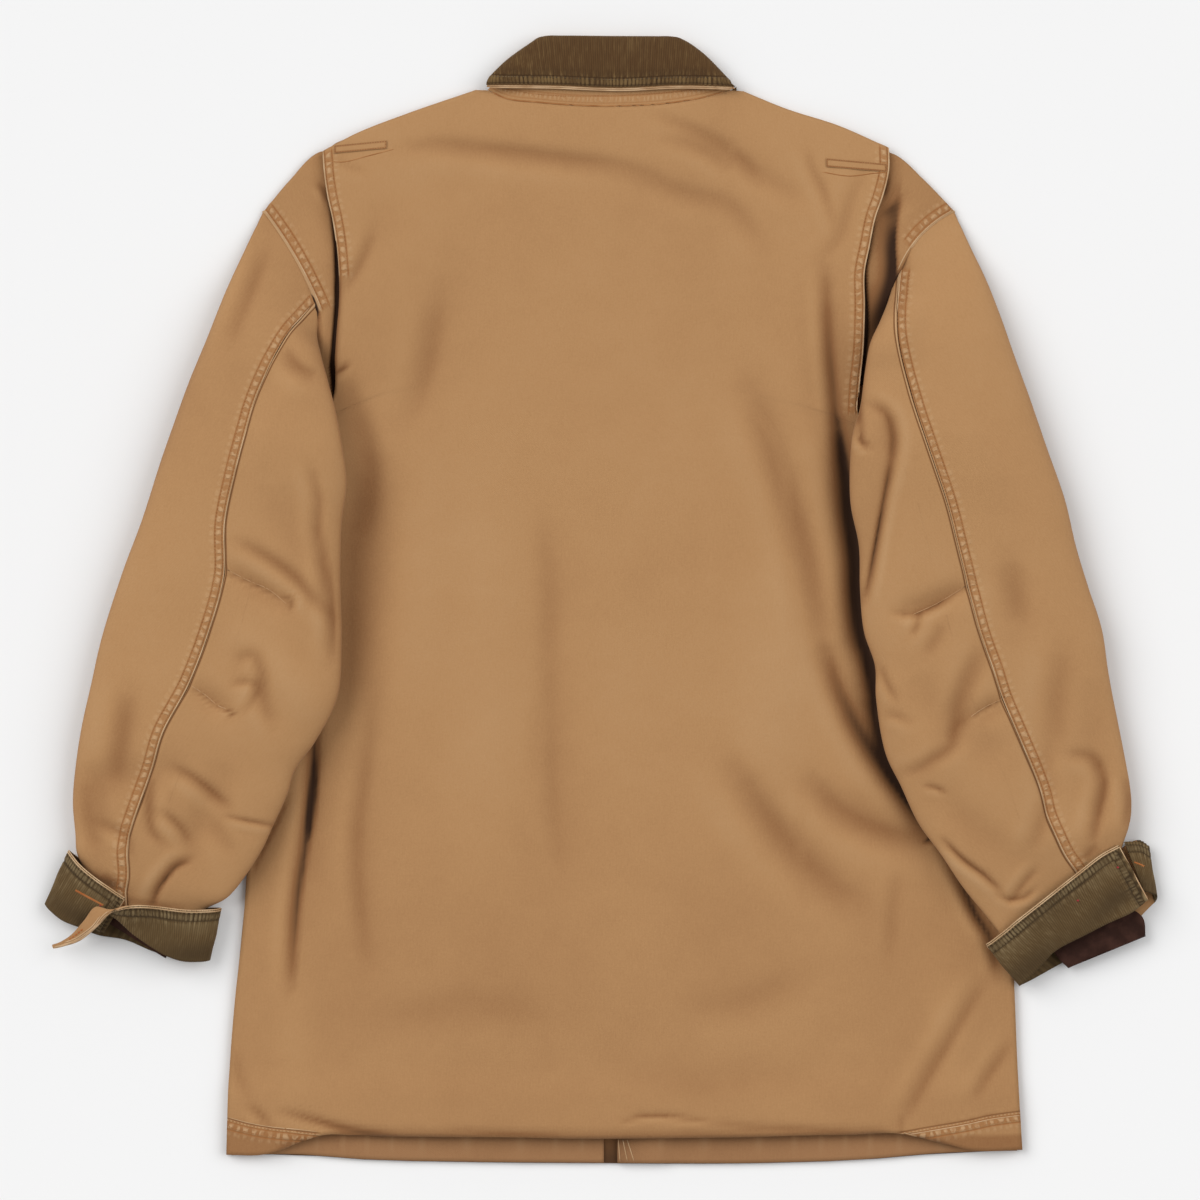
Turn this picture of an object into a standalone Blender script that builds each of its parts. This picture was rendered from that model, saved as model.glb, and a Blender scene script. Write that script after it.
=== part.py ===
"""Barn coat laid face down on a flat surface, seen from its back.

Frame: +X to the right of the view, +Y towards the collar, +Z up, the surface at Z = 0.
Tables are in millimetres, and every mesh is scaled to metres when it is made.
Each cloth piece is an open surface, its inner side, with its wall built outwards by Solidify.
"""

import bpy
import numpy as np

MM = 0.001
WALL = 2.0            # thickness of the doubled canvas
GAP = 0.3             # distance between pieces at a seam
CENTRING = np.array([-0.235, -1.02, 0.02])   # brings the whole coat's bounds to the origin
CONTACT = 0.6         # distance between cloth and the cloth that it lies on

# Loft of the torso: height of the back's inner side above the fronts, along the length (y, loft).
TORSO_LOFT = [(-460, 10), (-380, 13), (-250, 16), (0, 18), (200, 16), (330, 11), (420, 8), (470, 8)]
SIDE_SOFTNESS = 90.0      # distance over which the loft grows from a side edge
TOP_SOFTNESS = 40.0       # the same from the shoulder line
HEM_BAND_TOP = -405.0     # upper edge of the fronts' turned-up hem
HEM_BLEND = 30.0          # run over which the back comes down past that edge
ARMHOLE_RISE = 8.0        # how far the armhole's mouth stands open
ARMHOLE_REACH = 60.0      # how far inwards that opening is felt
PLEAT_LIFT = 5.0          # how far the back's pleat edge stands over the gusset
PLEAT_REACH = 70.0
SHOULDER_LIFT = 3.4       # the same where the pleat starts, at the shoulder
RAMP = 40.0               # run over which a sleeve comes down from the torso to the surface
SLEEVE_CLEAR = 3.0        # air between a sleeve and the torso that it lies on
ARMHOLE_GAP = 1.0         # the sleeves' and the body's edges meet at an angle here

# Edges of the back, seen from above (x, y), from shoulder to hem.
SHOULDER_LEFT = [(-273, 314), (-252, 340), (-228, 363), (-199, 377), (-156, 394), (-101, 413)]
SHOULDER_RIGHT = [(287, 314), (262, 341), (239, 361), (193, 384), (150, 398), (116, 412)]
NECK_LOWER = [(-91, 413), (-77, 406.5), (-50, 403), (14, 400), (60, 403), (81, 406.5), (105, 413)]
NECK_UPPER = [(-88, 416.5), (-41, 415), (16, 413), (65, 414.5), (104, 416.5)]
PLEAT_LEFT = [(-225, 363), (-224, 349), (-221, 327), (-217, 310), (-216, 291), (-212, 266),
              (-213, 238), (-216, 210), (-216, 184), (-216, 165)]
PLEAT_RIGHT = [(234, 366), (234, 349), (229, 327), (223, 310), (218, 286), (214, 266),
               (214, 238), (213, 202), (210, 171), (209, 151)]
SIDE_LEFT = [(-222, 150), (-244, 138), (-264, 122), (-272, 104), (-276, 0), (-280, -114),
             (-287, -228), (-289, -260), (-296, -324), (-301, -389), (-303, -450)]
SIDE_RIGHT = [(222, 138), (250, 128), (280, 116), (298, 98), (312, 0), (324, -114),
              (332, -228), (336, -324), (339, -396), (342, -446)]
HEM_BACK = [(-303, -450), (-272, -449.5), (-262, -447), (-238, -437.5), (-227, -434), (-200, -434),
            (2, -436), (200, -433), (238, -432), (250, -433.5), (286, -442.5), (298, -445.5), (342, -446)]
HEM_FRONT = [(-303, -451), (-249, -450), (-193, -454), (-114, -456), (3, -457),
             (129, -457), (216, -454), (277, -449), (342, -447)]
# Under the sleeves the torso ends here (x, y), from the armpit down to the side seam.
ARMPIT_LEFT = [(-227, 235), (-225, 205), (-231, 182), (-247, 162), (-263, 137), (-272, 104)]
ARMPIT_RIGHT = [(242, 266), (233, 243), (227, 210), (229, 186), (250, 160), (277, 134), (298, 98)]
GUSSET_UNDERLAP = 28.0    # how far the gusset runs on below the back's pleat edge
GUSSET_END = 150.0        # y of the gusset's lower edge
UNDERLAP_DROP = 1.8       # how far the hidden part of the gusset sinks below the back
CENTRE_LAP = (13.5, 36.0)     # x of the upper and of the lower front's edge
LAP_RAMP = (46.0, 60.0)       # the upper front comes down to the surface between these
NECKLINE = [(-91, 412), (-79, 385), (-52, 360), (-18, 346), (12.5, 342)]
COLLAR_END = [(-85, 416), (-62, 400), (-36, 388), (-10, 381), (12.5, 379)]
MIDDLE_X = 12.5           # the coat's middle line
NECK_COLUMNS = 15
COLLAR_GAP_SHARE = 0.12   # share of the collar end's depth left between it and the neckline
COLLAR_MIDDLE_GAP = 0.5   # half the distance between the collar's two ends
CUFF_LIFT = 0.13       # keeps the cuffs' undersides off the surface's own level
BACK_ROWS = 32
STAND_SHORT = 0.07        # share of the collar's depth between the stand's end and the fall's edge

# Main folds seen from above: start, middle, end of a curve, half-width, height (negative sinks).
TORSO_FOLDS = [
    # x0   y0    x1   y1    x2   y2   width height
    (-130, 367, 32, 348, 132, 288, 16, -2.0),
    (61, 377, 105, 360, 167, 323, 13, -2.0),
    (-118, 272, -134, 218, -150, 162, 18, -2.0),
    (-169, 324, -189, 289, -208, 252, 15, -2.0),
    (184, 252, 197, 97, 218, -73, 18, -6.0),
    (218, -73, 231, -130, 275, -195, 16, -4.5),
    (124, 170, 168, 39, 180, -34, 20, -3.0),
    (180, -34, 202, -81, 227, -143, 18, -3.5),
    (-46, 66, -41, -73, -29, -226, 17, -2.5),
    (-182, 125, -199, 24, -207, -81, 26, -4.5),
    (-229, -114, -231, -165, -243, -260, 15, -4.0),
    (-199, -114, -195, -211, -192, -318, 18, -3.0),
    (113, -142, 149, -192, 200, -230, 15, -3.5),
    (174, -149, 227, -182, 268, -194, 14, -3.5),
    (150, 60, 150, -60, 120, -180, 30, 3.0),
    (-90, 90, -95, -60, -100, -230, 34, 2.5),
    (-260, -300, -240, -360, -250, -420, 18, 2.5),
    (270, -300, 285, -350, 290, -410, 18, 2.5),
]
SLEEVE_FOLDS = [
    (-303, 26, -274, 8, -249, -8, 9, -6.0),
    (-331, -69, -314, -81, -301, -92, 9, -5.0),
    (-262, 96, -244, 30, -222, 20, 16, -4.0),
    (-300, -20, -262, -50, -230, -100, 16, 4.0),
    (-420, -140, -380, -150, -330, -130, 16, -3.5),
    (-300, -130, -318, -180, -345, -225, 14, -4.0),
    (299, 12, 263, -8, 240, -10, 9, -6.0),
    (325, -81, 312, -91, 299, -96, 9, -5.0),
    (231, 149, 237, 129, 231, 114, 11, -4.0),
    (231, 114, 222, 48, 214, 16, 14, -4.0),
    (250, -60, 285, -110, 330, -130, 16, -4.0),
    (400, -60, 400, -120, 395, -180, 16, -4.0),
    (270, -150, 300, -190, 345, -215, 14, -4.0),
]

# Stations down each sleeve: outer and inner silhouette seen from above, share of the way from outer
# to inner at which the back seam lies, loft inside, lift off the surface, and how far the station has
# left the armhole's own shape, and the bow of the station towards the collar.
SLEEVE_LEFT = [
    # outer x  y   inner x  y    seam  loft  lift  free  bow
    (-273, 315, -227, 235, 0.93, 8, 0.0, 0.00, 3),
    (-291, 277, -230, 214, 0.80, 22, 0.0, 0.40, 2),
    (-304, 248, -226, 196, 0.66, 30, 0.0, 0.85, 0),
    (-319, 210, -220, 175, 0.54, 34, 0.0, 1.00, 0),
    (-333, 176, -213, 148, 0.46, 36, 0.0, 1.00, 0),
    (-347, 137, -208, 121, 0.43, 38, 0.0, 1.00, 0),
    (-357, 108, -205, 93, 0.41, 38, 0.0, 1.00, 0),
    (-371, 64, -209, 60, 0.42, 38, 0.0, 1.00, 0),
    (-387, 21, -210, 16, 0.47, 38, 0.0, 1.00, 0),
    (-403, -29, -209, -33, 0.44, 36, 0.0, 1.00, 0),
    (-412, -68, -212, -77, 0.39, 36, 0.0, 1.00, 0),
    (-420, -104, -229, -112, 0.35, 35, 0.0, 1.00, 0),
    (-425, -137, -246, -136, 0.35, 33, 0.0, 1.00, 0),
    (-427, -164, -253, -157, 0.32, 31, 0.0, 1.00, 0),
    (-425, -190, -264, -181, 0.28, 28, 0.5, 1.00, 0),
    (-424, -204, -276, -206, 0.28, 25, 1.6, 1.00, 0),
    (-419, -216, -299, -238, 0.31, 20, 2.6, 1.00, 0),
    (-415, -232, -321, -251, 0.33, 15, 2.6, 1.00, 0),
    (-412, -247, -328, -268, 0.34, 11, 2.6, 1.00, 0),
]
SLEEVE_RIGHT = [
    (287, 315, 242, 266, 0.96, 8, 0.0, 0.00, 6),
    (300, 286, 234, 241, 0.89, 20, 0.0, 0.40, 4),
    (313, 258, 226, 223, 0.85, 28, 0.0, 0.85, 1),
    (325, 227, 218, 206, 0.80, 32, 0.0, 1.00, 0),
    (335, 198, 214, 184, 0.75, 35, 0.0, 1.00, 0),
    (348, 162, 210, 155, 0.69, 37, 0.0, 1.00, 0),
    (362, 121, 203, 128, 0.62, 38, 0.0, 1.00, 0),
    (376, 81, 202, 81, 0.56, 38, 0.0, 1.00, 0),
    (385, 43, 209, 44, 0.55, 38, 0.0, 1.00, 0),
    (395, 10, 210, 8, 0.53, 37, 0.0, 1.00, 0),
    (406, -24, 213, -25, 0.52, 36, 0.0, 1.00, 0),
    (411, -57, 222, -53, 0.50, 36, 0.0, 1.00, 0),
    (415, -79, 223, -81, 0.47, 35, 0.0, 1.00, 0),
    (423, -119, 230, -122, 0.42, 33, 0.0, 1.00, 0),
    (429, -152, 243, -150, 0.40, 31, 0.0, 1.00, 0),
    (430, -170, 257, -180, 0.40, 29, 0.6, 1.00, 0),
    (428, -183, 275, -205, 0.39, 27, 1.6, 1.00, 0),
    (424, -195, 293, -232, 0.36, 21, 2.6, 1.00, 0),
    (420, -210, 314, -258, 0.30, 15, 2.6, 1.00, 0),
    (424, -227, 330, -279, 0.28, 11, 2.6, 1.00, 0),
    (428, -240, 342, -292, 0.28, 9, 2.6, 1.00, 0),
]
FRONT_SEAM = 0.10         # where the hidden front seam lies on the underside, 0 at the middle

# Turn-back cuffs as strips: upper (piped) edge and lower edge with heights over what lies below.
CUFF_LEFT = [
    # upper x  y    z    lower x  y    z
    (-384, -241, 26, -402, -269, 12),
    (-396, -233, 27, -417, -266, 12),
    (-409, -224, 26, -434, -260, 11),
    (-421, -214, 22, -445, -252, 10),
    (-429, -204, 14, -449, -247, 7),
    (-424, -209, 3.5, -444, -250, 3),
    (-397, -227, 2, -413, -270, 2),
    (-365, -243, 2, -385, -276, 2),
    (-332, -250, 2, -357, -287, 2),
    (-312, -250, 4, -322, -291, 3.5),
    (-309, -250, 12, -318, -292, 10),
    (-317, -251, 20, -325, -293, 16),
    (-336, -251, 25, -340, -292, 20),
    (-360, -248, 28, -357, -285, 22),
    (-376, -247, 34, -375, -272, 26),
    (-387, -248, 38, -391, -257, 28),
    (-397, -253, 35, -407, -248, 28),
    (-408, -264.5, 29, -418, -260, 23),
    (-421, -275, 20, -428, -271, 16),
    (-434, -279.5, 16, -437, -277, 14),
    (-443, -281.5, 15, -444, -279.5, 13.5),
]
CUFF_RIGHT = [
    (419, -199, 22, 443, -243, 19),
    (404, -207, 25, 430, -253, 20),
    (387, -220, 27, 410, -262, 20),
    (369, -234, 27, 391, -272, 20),
    (342, -255, 23, 368, -284, 18),
    (328, -267, 16, 356, -297, 14),
    (317, -276, 9, 343, -310, 8),
    (314, -279, 4, 341, -312, 4),
    (322, -282, 2, 350, -308, 2),
    (344, -270, 2, 376, -294, 2),
    (372, -246, 2, 405, -280, 2),
    (401, -222, 2, 430, -264, 2),
    (421, -203, 2, 445, -250, 2),
    (435, -195, 4, 449, -245, 4),
    (443, -200, 9, 449, -240, 8.5),
    (435, -196, 14, 446, -238, 13),
    (424, -196, 16, 440, -236, 15),
]
# Inner cuffs: outer x, y, inner x, y, lowest and highest level.
INNER_CUFF_LEFT = [(-402, -234, -338, -254, 6.0, 13.0), (-401, -252, -346, -278, 6.0, 12.5),
                   (-398, -262, -353, -290, 6.0, 11.5)]
INNER_CUFF_RIGHT = [(411, -229, 360, -264, 7.4, 11.5), (418, -244, 364, -277, 6.6, 11.5),
                    (438, -257, 371, -289, 5.6, 11.5), (441, -273, 380, -298, 5.0, 11.5)]

# Collar seen from above: free edge of the fall and its fold.
COLLAR_FREE = [(-92, 416.5), (-41, 416), (16, 414), (65, 416), (109, 415)]
COLLAR_FOLD = [(-89, 423), (-77, 435), (-54.5, 451.7), (-50, 454.8), (-45, 456.2), (8, 456.5),
               (58, 456.2), (63, 455.2), (68, 452.6), (81, 443.6), (95, 430), (103, 421)]
# Section of the fall, from its hidden edge round the fold to the free edge: share, height.
FALL_SECTION = [(0.75, 5.8), (0.86, 5.6), (0.95, 6.2), (0.985, 8.2), (0.95, 10.8), (0.80, 12.6),
                (0.50, 13.6), (0.25, 13.2), (0.0, 12.0)]
TAB_LEFT = [(-215.5, 368), (-173, 372), (-173, 365.5), (-215.5, 361.5)]
TAB_RIGHT = [(183, 357.5), (232, 353), (232, 346.5), (183, 350.5)]

CANVAS = (0.46, 0.25, 0.11)
CORDUROY = (0.10, 0.075, 0.035)
INNER_BROWN = (0.035, 0.016, 0.012)


def smooth(value, low, high):
    """0 below low, 1 above high, and an even S between them."""
    t = np.clip((np.asarray(value, float) - low) / (high - low), 0.0, 1.0)
    return t * t * (3.0 - 2.0 * t)


def along(points, shares, by_row=False):
    """Points of a Catmull-Rom line at shares of its length, or of its count of rows."""
    p = np.asarray(points, float)
    if by_row:
        knots = np.arange(len(p)) / (len(p) - 1.0)
    else:
        knots = np.concatenate(([0.0], np.cumsum(np.linalg.norm(np.diff(p[:, :2], axis=0), axis=1))))
        knots = knots / knots[-1]
    slopes = np.gradient(p, knots, axis=0)
    shares = np.asarray(shares, float)
    i = np.clip(np.searchsorted(knots, shares, side="right") - 1, 0, len(p) - 2)
    span = (knots[i + 1] - knots[i])[:, None]
    w = ((shares - knots[i]) / span[:, 0])[:, None]
    return ((2 * w**3 - 3 * w**2 + 1) * p[i] + (w**3 - 2 * w**2 + w) * span * slopes[i]
            + (3 * w**2 - 2 * w**3) * p[i + 1] + (w**3 - w**2) * span * slopes[i + 1])


def shares_of(points):
    """Share of the way along a line at each of its points."""
    steps = np.linalg.norm(np.diff(points[:, :2], axis=0), axis=1)
    length = np.concatenate(([0.0], np.cumsum(steps)))
    return length / length[-1]


def patch(top, bottom, left, right):
    """Coons patch in plan: top and left are its own points, bottom and right are read at their shares."""
    top, left = np.asarray(top, float), np.asarray(left, float)
    u, v = shares_of(top), shares_of(left)
    b, r = along(bottom, u), along(right, v)
    uu, vv = u[None, :, None], v[:, None, None]
    ruled = (1 - vv) * top[None] + vv * b[None] + (1 - uu) * left[:, None] + uu * r[:, None]
    corners = ((1 - uu) * (1 - vv) * top[0] + uu * (1 - vv) * top[-1]
               + (1 - uu) * vv * b[0] + uu * vv * b[-1])
    return ruled - corners


def relief(x, y, folds):
    """Sum of the folds: height * exp(-(distance / width)^2), fading to nothing at both ends."""
    steps = np.linspace(0.0, 1.0, 25)
    total = np.zeros(np.shape(x))
    for x0, y0, x1, y1, x2, y2, width, height in folds:
        cx = (1 - steps)**2 * x0 + 2 * steps * (1 - steps) * x1 + steps**2 * x2
        cy = (1 - steps)**2 * y0 + 2 * steps * (1 - steps) * y1 + steps**2 * y2
        squared = (x[..., None] - cx)**2 + (y[..., None] - cy)**2
        nearest = squared.argmin(axis=-1)
        fade = np.sqrt(np.sin(np.pi * np.clip(steps[nearest], 0.02, 0.98)))
        total += height * fade * np.exp(-squared.min(axis=-1) / width**2)
    return total


def edge_x(y, line):
    """x of a line that runs up and down, at height y."""
    p = np.asarray(line, float)
    order = np.argsort(p[:, 1])
    return np.interp(y, p[order, 1], p[order, 0])


TORSO_EDGE_LEFT = [SHOULDER_LEFT[0]] + ARMPIT_LEFT + SIDE_LEFT[4:]
TORSO_EDGE_RIGHT = [SHOULDER_RIGHT[0]] + ARMPIT_RIGHT + SIDE_RIGHT[4:]
SHOULDER_LINE = SHOULDER_LEFT + [(-54, 452), (8, 457), (69, 452)] + SHOULDER_RIGHT[::-1]


def inside_distance(x, y):
    """Distance inwards from the nearer side edge of the torso, negative outside."""
    return np.minimum(x - edge_x(y, TORSO_EDGE_LEFT), edge_x(y, TORSO_EDGE_RIGHT) - x)


def shoulder_distance(x, y):
    """Distance down from the shoulder line."""
    line = np.asarray(SHOULDER_LINE, float)
    return np.maximum(np.interp(x, line[:, 0], line[:, 1]) - y, 0.0)


def rest_height(x, y):
    """Level of the inner side of the cloth over the fronts: a low cushion of air, thin at the edges.

    base + loft(y) * (1 - exp(-side / softness)) * (1 - exp(-top / softness)) + open armhole + folds
    """
    side = np.maximum(inside_distance(x, y), 0.0)
    top = shoulder_distance(x, y)
    levels = np.asarray(TORSO_LOFT, float)
    loft = np.interp(y, levels[:, 0], levels[:, 1])
    base = WALL + GAP + (WALL + GAP) * smooth(-y, -HEM_BAND_TOP - HEM_BLEND, -HEM_BAND_TOP)
    swell = (1 - np.exp(-side / SIDE_SOFTNESS)) * (1 - np.exp(-top / TOP_SOFTNESS))
    mouth = ARMHOLE_RISE * np.exp(-(side / ARMHOLE_REACH)**2) * smooth(y, 175, 215)
    mouth = mouth * (1 - smooth(y, 270, 314))
    folds = relief(x, y, TORSO_FOLDS) * smooth(side, 0, 40)
    return np.maximum(base + loft * swell + mouth + folds, base)


def pleat_lift(x, y):
    """Extra height of the back over its pleat gussets, greatest at the pleat edge."""
    left = x - edge_x(y, PLEAT_LEFT)
    right = edge_x(y, PLEAT_RIGHT) - x
    near = np.maximum(np.minimum(left, right), 0.0)
    open_share = 1 - np.exp(-shoulder_distance(x, y) / 30.0)
    amount = SHOULDER_LIFT + (PLEAT_LIFT - SHOULDER_LIFT) * open_share
    return amount * np.exp(-(near / PLEAT_REACH)**2) * smooth(y, 60, 130)


def back_height(x, y):
    return rest_height(x, y) + pleat_lift(x, y)


def floor_height(x, y):
    """Level of what a sleeve or cuff lies on: the torso's top, ramping down to the surface outside."""
    d = inside_distance(x, y)
    side = np.maximum(d, 0.0)
    nearest_x = np.where(x < MIDDLE_X, np.maximum(x, edge_x(y, TORSO_EDGE_LEFT)),
                         np.minimum(x, edge_x(y, TORSO_EDGE_RIGHT)))
    top = back_height(nearest_x, y) + WALL + SLEEVE_CLEAR
    return np.where(side > 0, top, top * smooth(d, -RAMP, 0.0))


def material(name, colour, roughness):
    made = bpy.data.materials.new(name)
    made.use_nodes = True
    shader = made.node_tree.nodes["Principled BSDF"]
    shader.inputs["Base Color"].default_value = (*colour, 1.0)
    shader.inputs["Roughness"].default_value = roughness
    shader.inputs["Metallic"].default_value = 0.0
    made.diffuse_color = (*colour, 1.0)
    return made


def cloth(name, grid, colour, outward, collection, wall=WALL):
    """Open quad grid of inner-side points with its wall built outwards by Solidify.

    outward is a grid of directions that the outer side faces; the faces are wound to match it.
    """
    rows, columns = grid.shape[:2]
    index = np.arange(rows * columns).reshape(rows, columns)
    a, b, c, d = index[:-1, :-1], index[:-1, 1:], index[1:, 1:], index[1:, :-1]
    quads = np.stack((a, b, c, d), axis=-1).reshape(-1, 4)
    p = grid.reshape(-1, 3)
    normals = np.cross(p[quads[:, 2]] - p[quads[:, 0]], p[quads[:, 3]] - p[quads[:, 1]])
    facing = np.sum(normals * outward.reshape(-1, 3)[quads[:, 0]])
    if facing < 0:
        quads = quads[:, ::-1]
    mesh = bpy.data.meshes.new(name)
    mesh.from_pydata(((p + CENTRING) * MM).tolist(), [], quads.tolist())
    mesh.update()
    mesh.shade_smooth()
    obj = bpy.data.objects.new(name, mesh)
    collection.objects.link(obj)
    mesh.materials.append(material(name + "_cloth", colour, 0.9))
    solidify = obj.modifiers.new("wall", "SOLIDIFY")
    solidify.thickness = wall * MM
    solidify.offset = 1.0
    solidify.use_even_offset = False
    return obj


def up(grid):
    """Upward directions for every point of a grid."""
    return np.broadcast_to(np.array([0.0, 0.0, 1.0]), grid.shape)


def raised(plan, height):
    """Plan grid with its heights added."""
    return np.concatenate((plan, height[..., None]), axis=-1)


def armhole_line(table, gap):
    """The armhole seam from the shoulder tip to the armpit, moved gap towards the torso."""
    share = np.linspace(0.0, 1.0, 7)
    ox, oy, ix, iy = table[0][:4]
    direction = np.array([ix - ox, iy - oy], float)
    direction = direction / np.linalg.norm(direction)
    inward = np.array([-direction[1], direction[0]])
    inward = inward * np.sign(inward[1])
    bow = table[0][8]
    line = np.array([ox, oy]) + share[:, None] * np.array([ix - ox, iy - oy])
    line = line + (bow * (1 - (2 * share - 1)**2) + gap)[:, None] * inward
    return line


def neck_points(line):
    """Points of a neck line that the back, the neck strip and the stand share."""
    return along(line, np.linspace(0.0, 1.0, NECK_COLUMNS))


def front_neck_points(sign):
    """Neckline of a front: the left one as given, the right one mirrored about the middle."""
    points = along(NECKLINE, np.linspace(0.0, 1.0, 9))
    return np.column_stack((MIDDLE_X + sign * (points[:, 0] - MIDDLE_X), points[:, 1]))


def neck_level(x, sign):
    """y of the neckline at x, level past the middle."""
    points = front_neck_points(1)
    return float(np.interp(MIDDLE_X + sign * (x - MIDDLE_X), points[:, 0], points[:, 1]))


def hem_level(x):
    """y of the fronts' hem at x."""
    hem = along(HEM_FRONT, np.linspace(0, 1, 60))
    return float(np.interp(x, hem[:, 0], hem[:, 1]))


def armpit_points(armpit, away):
    """Edge of the torso below the armhole, moved clear of the sleeve; away is -1 on the left."""
    points = np.asarray(armpit, float)
    return points - np.array([away * ARMHOLE_GAP, 0.0])


def make_back(collection):
    left_shoulder = along([PLEAT_LEFT[0]] + SHOULDER_LEFT[3:], np.linspace(0, 1, 8))
    right_shoulder = along(SHOULDER_RIGHT[:2:-1] + [PLEAT_RIGHT[0]], np.linspace(0, 1, 8))
    neck = neck_points(NECK_LOWER) - np.array([0.0, GAP])
    top = np.concatenate((left_shoulder, neck, right_shoulder))
    left_edge = along(PLEAT_LEFT + SIDE_LEFT, np.linspace(0, 1, BACK_ROWS))
    plan = patch(top, HEM_BACK, left_edge, PLEAT_RIGHT + SIDE_RIGHT)
    grid = raised(plan, back_height(plan[..., 0], plan[..., 1]))
    return cloth("back", grid, CANVAS, up(grid), collection)


def make_gusset(name, pleat, table, armpit, collection):
    """Side-back piece from the armhole seam to below the pleat edge."""
    away = np.sign(pleat[0][0])
    outer = np.concatenate((armhole_line(table, ARMHOLE_GAP), armpit_points(armpit, away)[1:4]))
    shoulder = SHOULDER_LEFT if away < 0 else SHOULDER_RIGHT
    inner = [(x - away * GUSSET_UNDERLAP, y) for x, y in pleat if y > GUSSET_END + 5]
    inner.append((inner[-1][0], GUSSET_END))
    top = along([outer[0]] + [(x, y - 0.5) for x, y in shoulder[1:3]] + [inner[0]], np.linspace(0, 1, 7))
    plan = patch(top, [outer[-1], inner[-1]], outer, inner)
    x, y = plan[..., 0], plan[..., 1]
    below = smooth(-away * (x - edge_x(y, pleat)), 0, 0.6 * GUSSET_UNDERLAP)
    height = np.maximum(rest_height(x, y) - UNDERLAP_DROP * below, WALL + GAP)
    grid = raised(plan, height)
    return cloth(name, grid, CANVAS, up(grid), collection)


def make_front(name, edge, armpit, shoulder, table, centre_x, sign, collection):
    """Flat front; the right-hand one steps up over the other along the lap."""
    side = np.array([point for point in edge if point[1] < 120])
    lower_side = along(side, np.linspace(0, 1, 9))
    outer = np.concatenate((armhole_line(table, ARMHOLE_GAP), armpit_points(armpit, -sign)[1:-1],
                            lower_side))
    neck = front_neck_points(sign)[1:]
    shoulder_points = along([outer[0]] + shoulder[1:], np.linspace(0, 1, 6))
    flat_x = max(centre_x, LAP_RAMP[1]) if sign < 0 else MIDDLE_X - 2.0
    beside = neck[np.abs(neck[:, 0] - MIDDLE_X) > abs(flat_x - MIDDLE_X) + 2.0]
    top = np.concatenate((shoulder_points, beside, [(flat_x, neck_level(flat_x, sign))]))
    hem = along(HEM_FRONT, np.linspace(0, 1, 60))
    keep = hem[hem[:, 0] < flat_x - 6] if sign > 0 else hem[hem[:, 0] > flat_x + 6][::-1]
    bottom = np.concatenate(([outer[-1]], keep[1:], [(flat_x, hem_level(flat_x))]))
    plan = patch(top, bottom, outer, [top[-1], bottom[-1]])
    rest = [LAP_RAMP[0], centre_x] if sign < 0 else [centre_x]
    shares = shares_of(outer)
    columns = [plan]
    for x in rest:
        y_top, y_low = neck_level(x, sign), hem_level(x)
        column = np.column_stack((np.full(len(shares), x), y_top + shares * (y_low - y_top)))
        columns.append(column[:, None])
    plan = np.concatenate(columns, axis=1)
    step = np.zeros(plan.shape[:2])
    if sign < 0:
        step = (WALL + GAP) * (1 - smooth(plan[..., 0], *LAP_RAMP))
    grid = raised(plan, step)
    return cloth(name, grid, CANVAS, up(grid), collection)


def make_front_hem(name, xs, level_at, collection):
    """Turned-up band along a front's hem, lying on the front, with columns at xs."""
    hem = along(HEM_FRONT, np.linspace(0, 1, 200))
    lower = np.interp(xs, hem[:, 0], hem[:, 1]) + 0.4
    rows = np.linspace(0.0, 1.0, 4)[:, None]
    y = lower[None] + rows * (HEM_BAND_TOP - lower)[None]
    x = np.broadcast_to(xs, y.shape)
    plan = np.stack((x, y), axis=-1)
    grid = raised(plan, level_at(x))
    return cloth(name, grid, CANVAS, up(grid), collection, wall=1.4)


def make_neck_strip(collection):
    lower = neck_points(NECK_LOWER)
    upper = neck_points(NECK_UPPER)
    v = np.linspace(0, 1, 4)[:, None, None]
    plan = lower[None] * (1 - v) + upper[None] * v
    grid = raised(plan, rest_height(plan[..., 0], plan[..., 1]))
    return cloth("neck_strip", grid, CANVAS, up(grid), collection)


def make_collar(collection):
    """Fall turned over at its fold, and the stand behind it from the neck seam to near the fold."""
    u = np.linspace(0.0, 1.0, 24)
    free, fold = along(COLLAR_FREE, u), along(COLLAR_FOLD, u)
    section = along(FALL_SECTION, np.linspace(0, 1, 15), by_row=True)
    share, height = section[:, 0][:, None], section[:, 1][:, None]
    plan = free[None] + share[..., None] * (fold - free)[None]
    level = np.broadcast_to(height, plan.shape[:2])
    grid = raised(plan, level)
    heart = np.column_stack((free + 0.8 * (fold - free), np.full(len(u), 9.0)))
    cloth("collar_fall", grid, CORDUROY, grid - heart[None], collection)

    start = neck_points(NECK_UPPER)[1:-1] + np.array([0.0, GAP])
    v = np.linspace(0.0, 1.0, 6)[:, None, None]
    u = np.linspace(0.0, 1.0, NECK_COLUMNS)[1:-1]
    free, fold = along(COLLAR_FREE, u), along(COLLAR_FOLD, u)
    end = free + (FALL_SECTION[0][0] - STAND_SHORT) * (fold - free)
    plan = start[None] * (1 - v) + end[None] * v
    seam_level = rest_height(start[:, 0], start[:, 1])
    level = seam_level[None] * (1 - v[..., 0]) + (FALL_SECTION[0][1] - WALL) * v[..., 0]
    grid = raised(plan, level)
    cloth("collar_stand", grid, CANVAS, up(grid), collection)


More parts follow.
